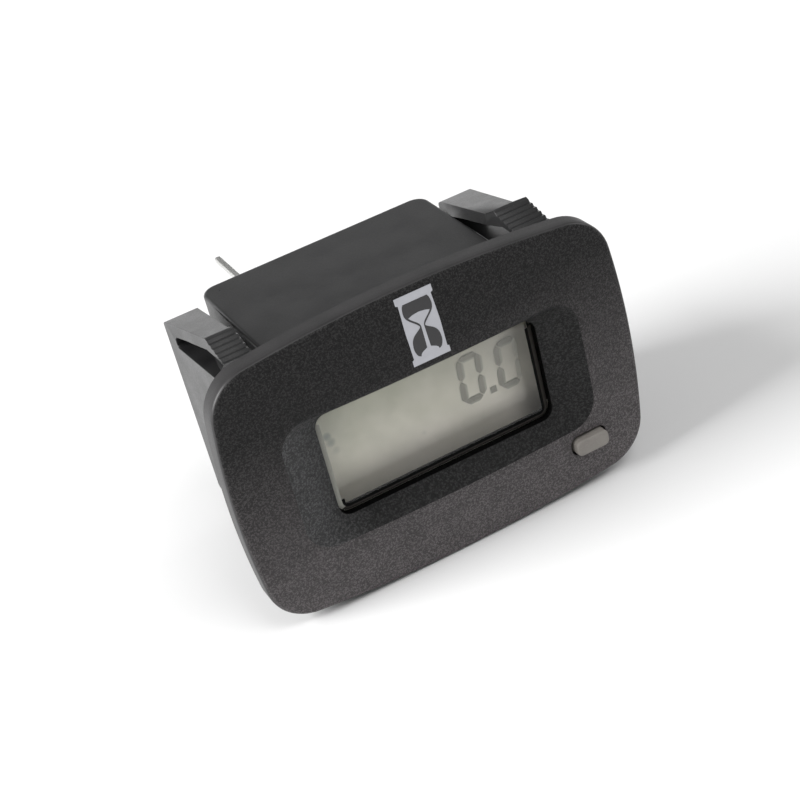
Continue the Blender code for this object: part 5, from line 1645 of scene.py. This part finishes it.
@dataclass
class Lamp:
    """One soft area lamp that looks at the object."""

    name: str
    azimuth: float
    elevation: float
    away: float
    size: tuple[float, float]
    power: float

    def build(self) -> None:
        """Adds the lamp."""
        data = bpy.data.lights.new(self.name, "AREA")
        data.shape = "RECTANGLE"
        data.size, data.size_y = self.size
        data.energy = self.power
        lamp = bpy.data.objects.new(self.name, data)
        a, e = math.radians(self.azimuth), math.radians(self.elevation)
        toward = Vector((math.sin(a) * math.cos(e), -math.cos(a) * math.cos(e), math.sin(e)))
        lamp.location = toward * self.away
        lamp.rotation_euler = toward.to_track_quat("Z", "Y").to_euler()
        bpy.context.scene.collection.objects.link(lamp)


@dataclass
class Studio:
    """A plain pale floor, soft lamps and an even world."""

    floor: Finish
    lamps: tuple[Lamp, ...]
    world: float = 0.33
    floor_half: float = 3.0

    def build_world(self) -> None:
        """Lights the surroundings evenly."""
        world = bpy.data.worlds.new("studio_air")
        world.use_nodes = True
        back = world.node_tree.nodes["Background"]
        back.inputs["Color"].default_value = (1.0, 1.0, 1.0, 1.0)
        back.inputs["Strength"].default_value = self.world
        bpy.context.scene.world = world

    def build(self) -> None:
        """Builds the floor, the lamps and the world."""
        low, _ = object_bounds()
        half = self.floor_half
        bm = bmesh.new()
        bm.faces.new([bm.verts.new((x, y, low[2])) for x, y in
                      ((-half, -half), (half, -half), (half, half), (-half, half))])
        as_object("studio_floor", bm, self.floor.make())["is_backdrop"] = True
        for lamp in self.lamps:
            lamp.build()
        self.build_world()


@dataclass
class PhotoCamera:
    """The camera at the photograph's viewing angle."""

    azimuth: float = 18.811
    elevation: float = 30.702
    roll: float = 15.207
    distance: float = 179.03 * MM
    target: Point = (-2.750 * MM, 0.0, 2.808 * MM)
    focal_px: float = 1821.33
    picture_px: float = 800.0
    sensor_mm: float = 36.0

    def build(self) -> None:
        """Adds the camera and makes it the scene's."""
        a, e, r = (math.radians(v) for v in (self.azimuth, self.elevation, self.roll))
        back = Vector((-math.sin(a) * math.cos(e), -math.cos(a) * math.cos(e), math.sin(e)))
        right = (-back).cross(Vector((0, 0, 1))).normalized()
        down = (-back).cross(right)
        across = math.cos(r) * right + math.sin(r) * down
        up = math.sin(r) * right - math.cos(r) * down
        data = bpy.data.cameras.new("photo_camera")
        data.sensor_width = self.sensor_mm
        data.lens = self.focal_px / self.picture_px * data.sensor_width
        data.clip_start = 0.01
        camera = bpy.data.objects.new("photo_camera", data)
        turn = Matrix((across, up, back)).transposed().to_4x4()
        camera.matrix_world = Matrix.Translation(Vector(self.target) + back * self.distance) @ turn
        bpy.context.scene.collection.objects.link(camera)
        bpy.context.scene.camera = camera
        bpy.context.scene.view_settings.view_transform = "Standard"


def main() -> None:
    """Builds every sub-assembly, the studio and the camera."""
    logging.basicConfig(level=logging.INFO, format="%(message)s")
    PhotoCamera().build()
    # The front's pale tint is painted light, growing toward the bottom
    bezel = SparkTexture("bezel_spark_black", Slot.BEZEL, (0.001, 0.0008, 0.001), (0.03, 0.029, 0.029), 0.45, 0.12,
                         0.09, specular=0.24)
    # The funnel's pale tint is painted light on its left wall
    funnel = SparkTexture("funnel_spark_black", Slot.BEZEL, (0.001, 0.001, 0.001), (0.03, 0.03, 0.03), 0.45, 0.15,
                          0.12, (0.12, 0.12, 0.123), (-1.0, 0.0), (9.5, 15.0), 0.5, 0.26)
    rim = MouldedPlastic("bezel_rim_black", Slot.BEZEL, (0.02, 0.0195, 0.02), (0.04, 0.038, 0.039), 0.42, 0.16, 0.006,
                         specular=0.4)
    white = PrintInk("print_white", Slot.BEZEL, (0.46, 0.465, 0.5))
    dark = PrintInk("print_black", Slot.BEZEL, (0.035, 0.034, 0.036))
    # The window wall's darker, dull black is painted shade
    wall = SparkTexture("window_wall_shade", Slot.BEZEL, (0.001, 0.001, 0.001), (0.006, 0.006, 0.006), 0.5, 0.14,
                        0.05, cover=0.0, specular=0.04)
    Bezel(bezel, rim, funnel, wall, white, dark).build()
    Display(
        ClearPart("window_clear", Slot.LENS, (0.985, 0.987, 0.98), 0.03, shine=0.03),
        # The window's black edge is painted shade; its grey bevel and pale left side are painted highlights
        FrostedEdge("window_edge_shade", Slot.LENS, (0.004, 0.004, 0.004), 0.0, 0.02),
        FrostedEdge("window_bevel_highlight", Slot.LENS, (0.045, 0.042, 0.038), 0.02),
        FrostedEdge("window_left_highlight", Slot.LENS, (0.42, 0.42, 0.38), 0.02),
        ClearPart("polariser_grey", Slot.GLASS, (0.985, 0.985, 0.965), 0.05, shine=0.01),
        # The milky layer's pale grey below is painted light; its darker green above and shaded colour at the upper
        # right are painted shade
        DisplayBack("display_milky", Slot.FILM, (0.37, 0.385, 0.305), (0.96, 0.905, 0.865), 25.8, 11.8),
        PrintInk("segment_dark", Slot.FILM, (0.27, 0.26, 0.235)),
        PrintInk("segment_faint", Slot.FILM, (0.46, 0.45, 0.41)),
        # The shade and outer shadow inks are the digits' painted shadows
        PrintInk("segment_shade", Slot.FILM, (0.37, 0.365, 0.33)),
        PrintInk("segment_outer_shadow", Slot.FILM, (0.46, 0.455, 0.41)),
        PrintInk("mask_black", Slot.BEZEL, (0.01, 0.01, 0.01)),
    ).build()
    ResetButton(MouldedPlastic("button_grey", Slot.BUTTON, (0.185, 0.17, 0.155), (0.275, 0.26, 0.235), 0.5, 0.2,
                               0.015)).build()
    case = MouldedPlastic("case_black", Slot.CASE, (0.010, 0.010, 0.0105), (0.026, 0.026, 0.026), 0.36, 0.16, 0.006)
    Housing(case, case).build()
    Terminals(Metal("pin_tin", Slot.TIN, (0.72, 0.72, 0.7), 0.25)).build()
    Electronics().build()
    Studio(
        StudioFloor("studio_paper", Slot.CASE, (0.8, 0.8, 0.8)),
        (
            Lamp("left_softbox", -95.0, 30.0, 1.2, (0.6, 0.8), 23.0),
            Lamp("right_softbox", 88.0, 28.0, 1.2, (0.6, 0.6), 3.0),
            Lamp("front_softbox", 15.0, 58.0, 1.2, (0.5, 0.5), 4.5),
            Lamp("rear_softbox", 180.0, 6.0, 1.4, (1.8, 0.22), 2.3),
        ),
    ).build()


if __name__ == "__main__":
    main()
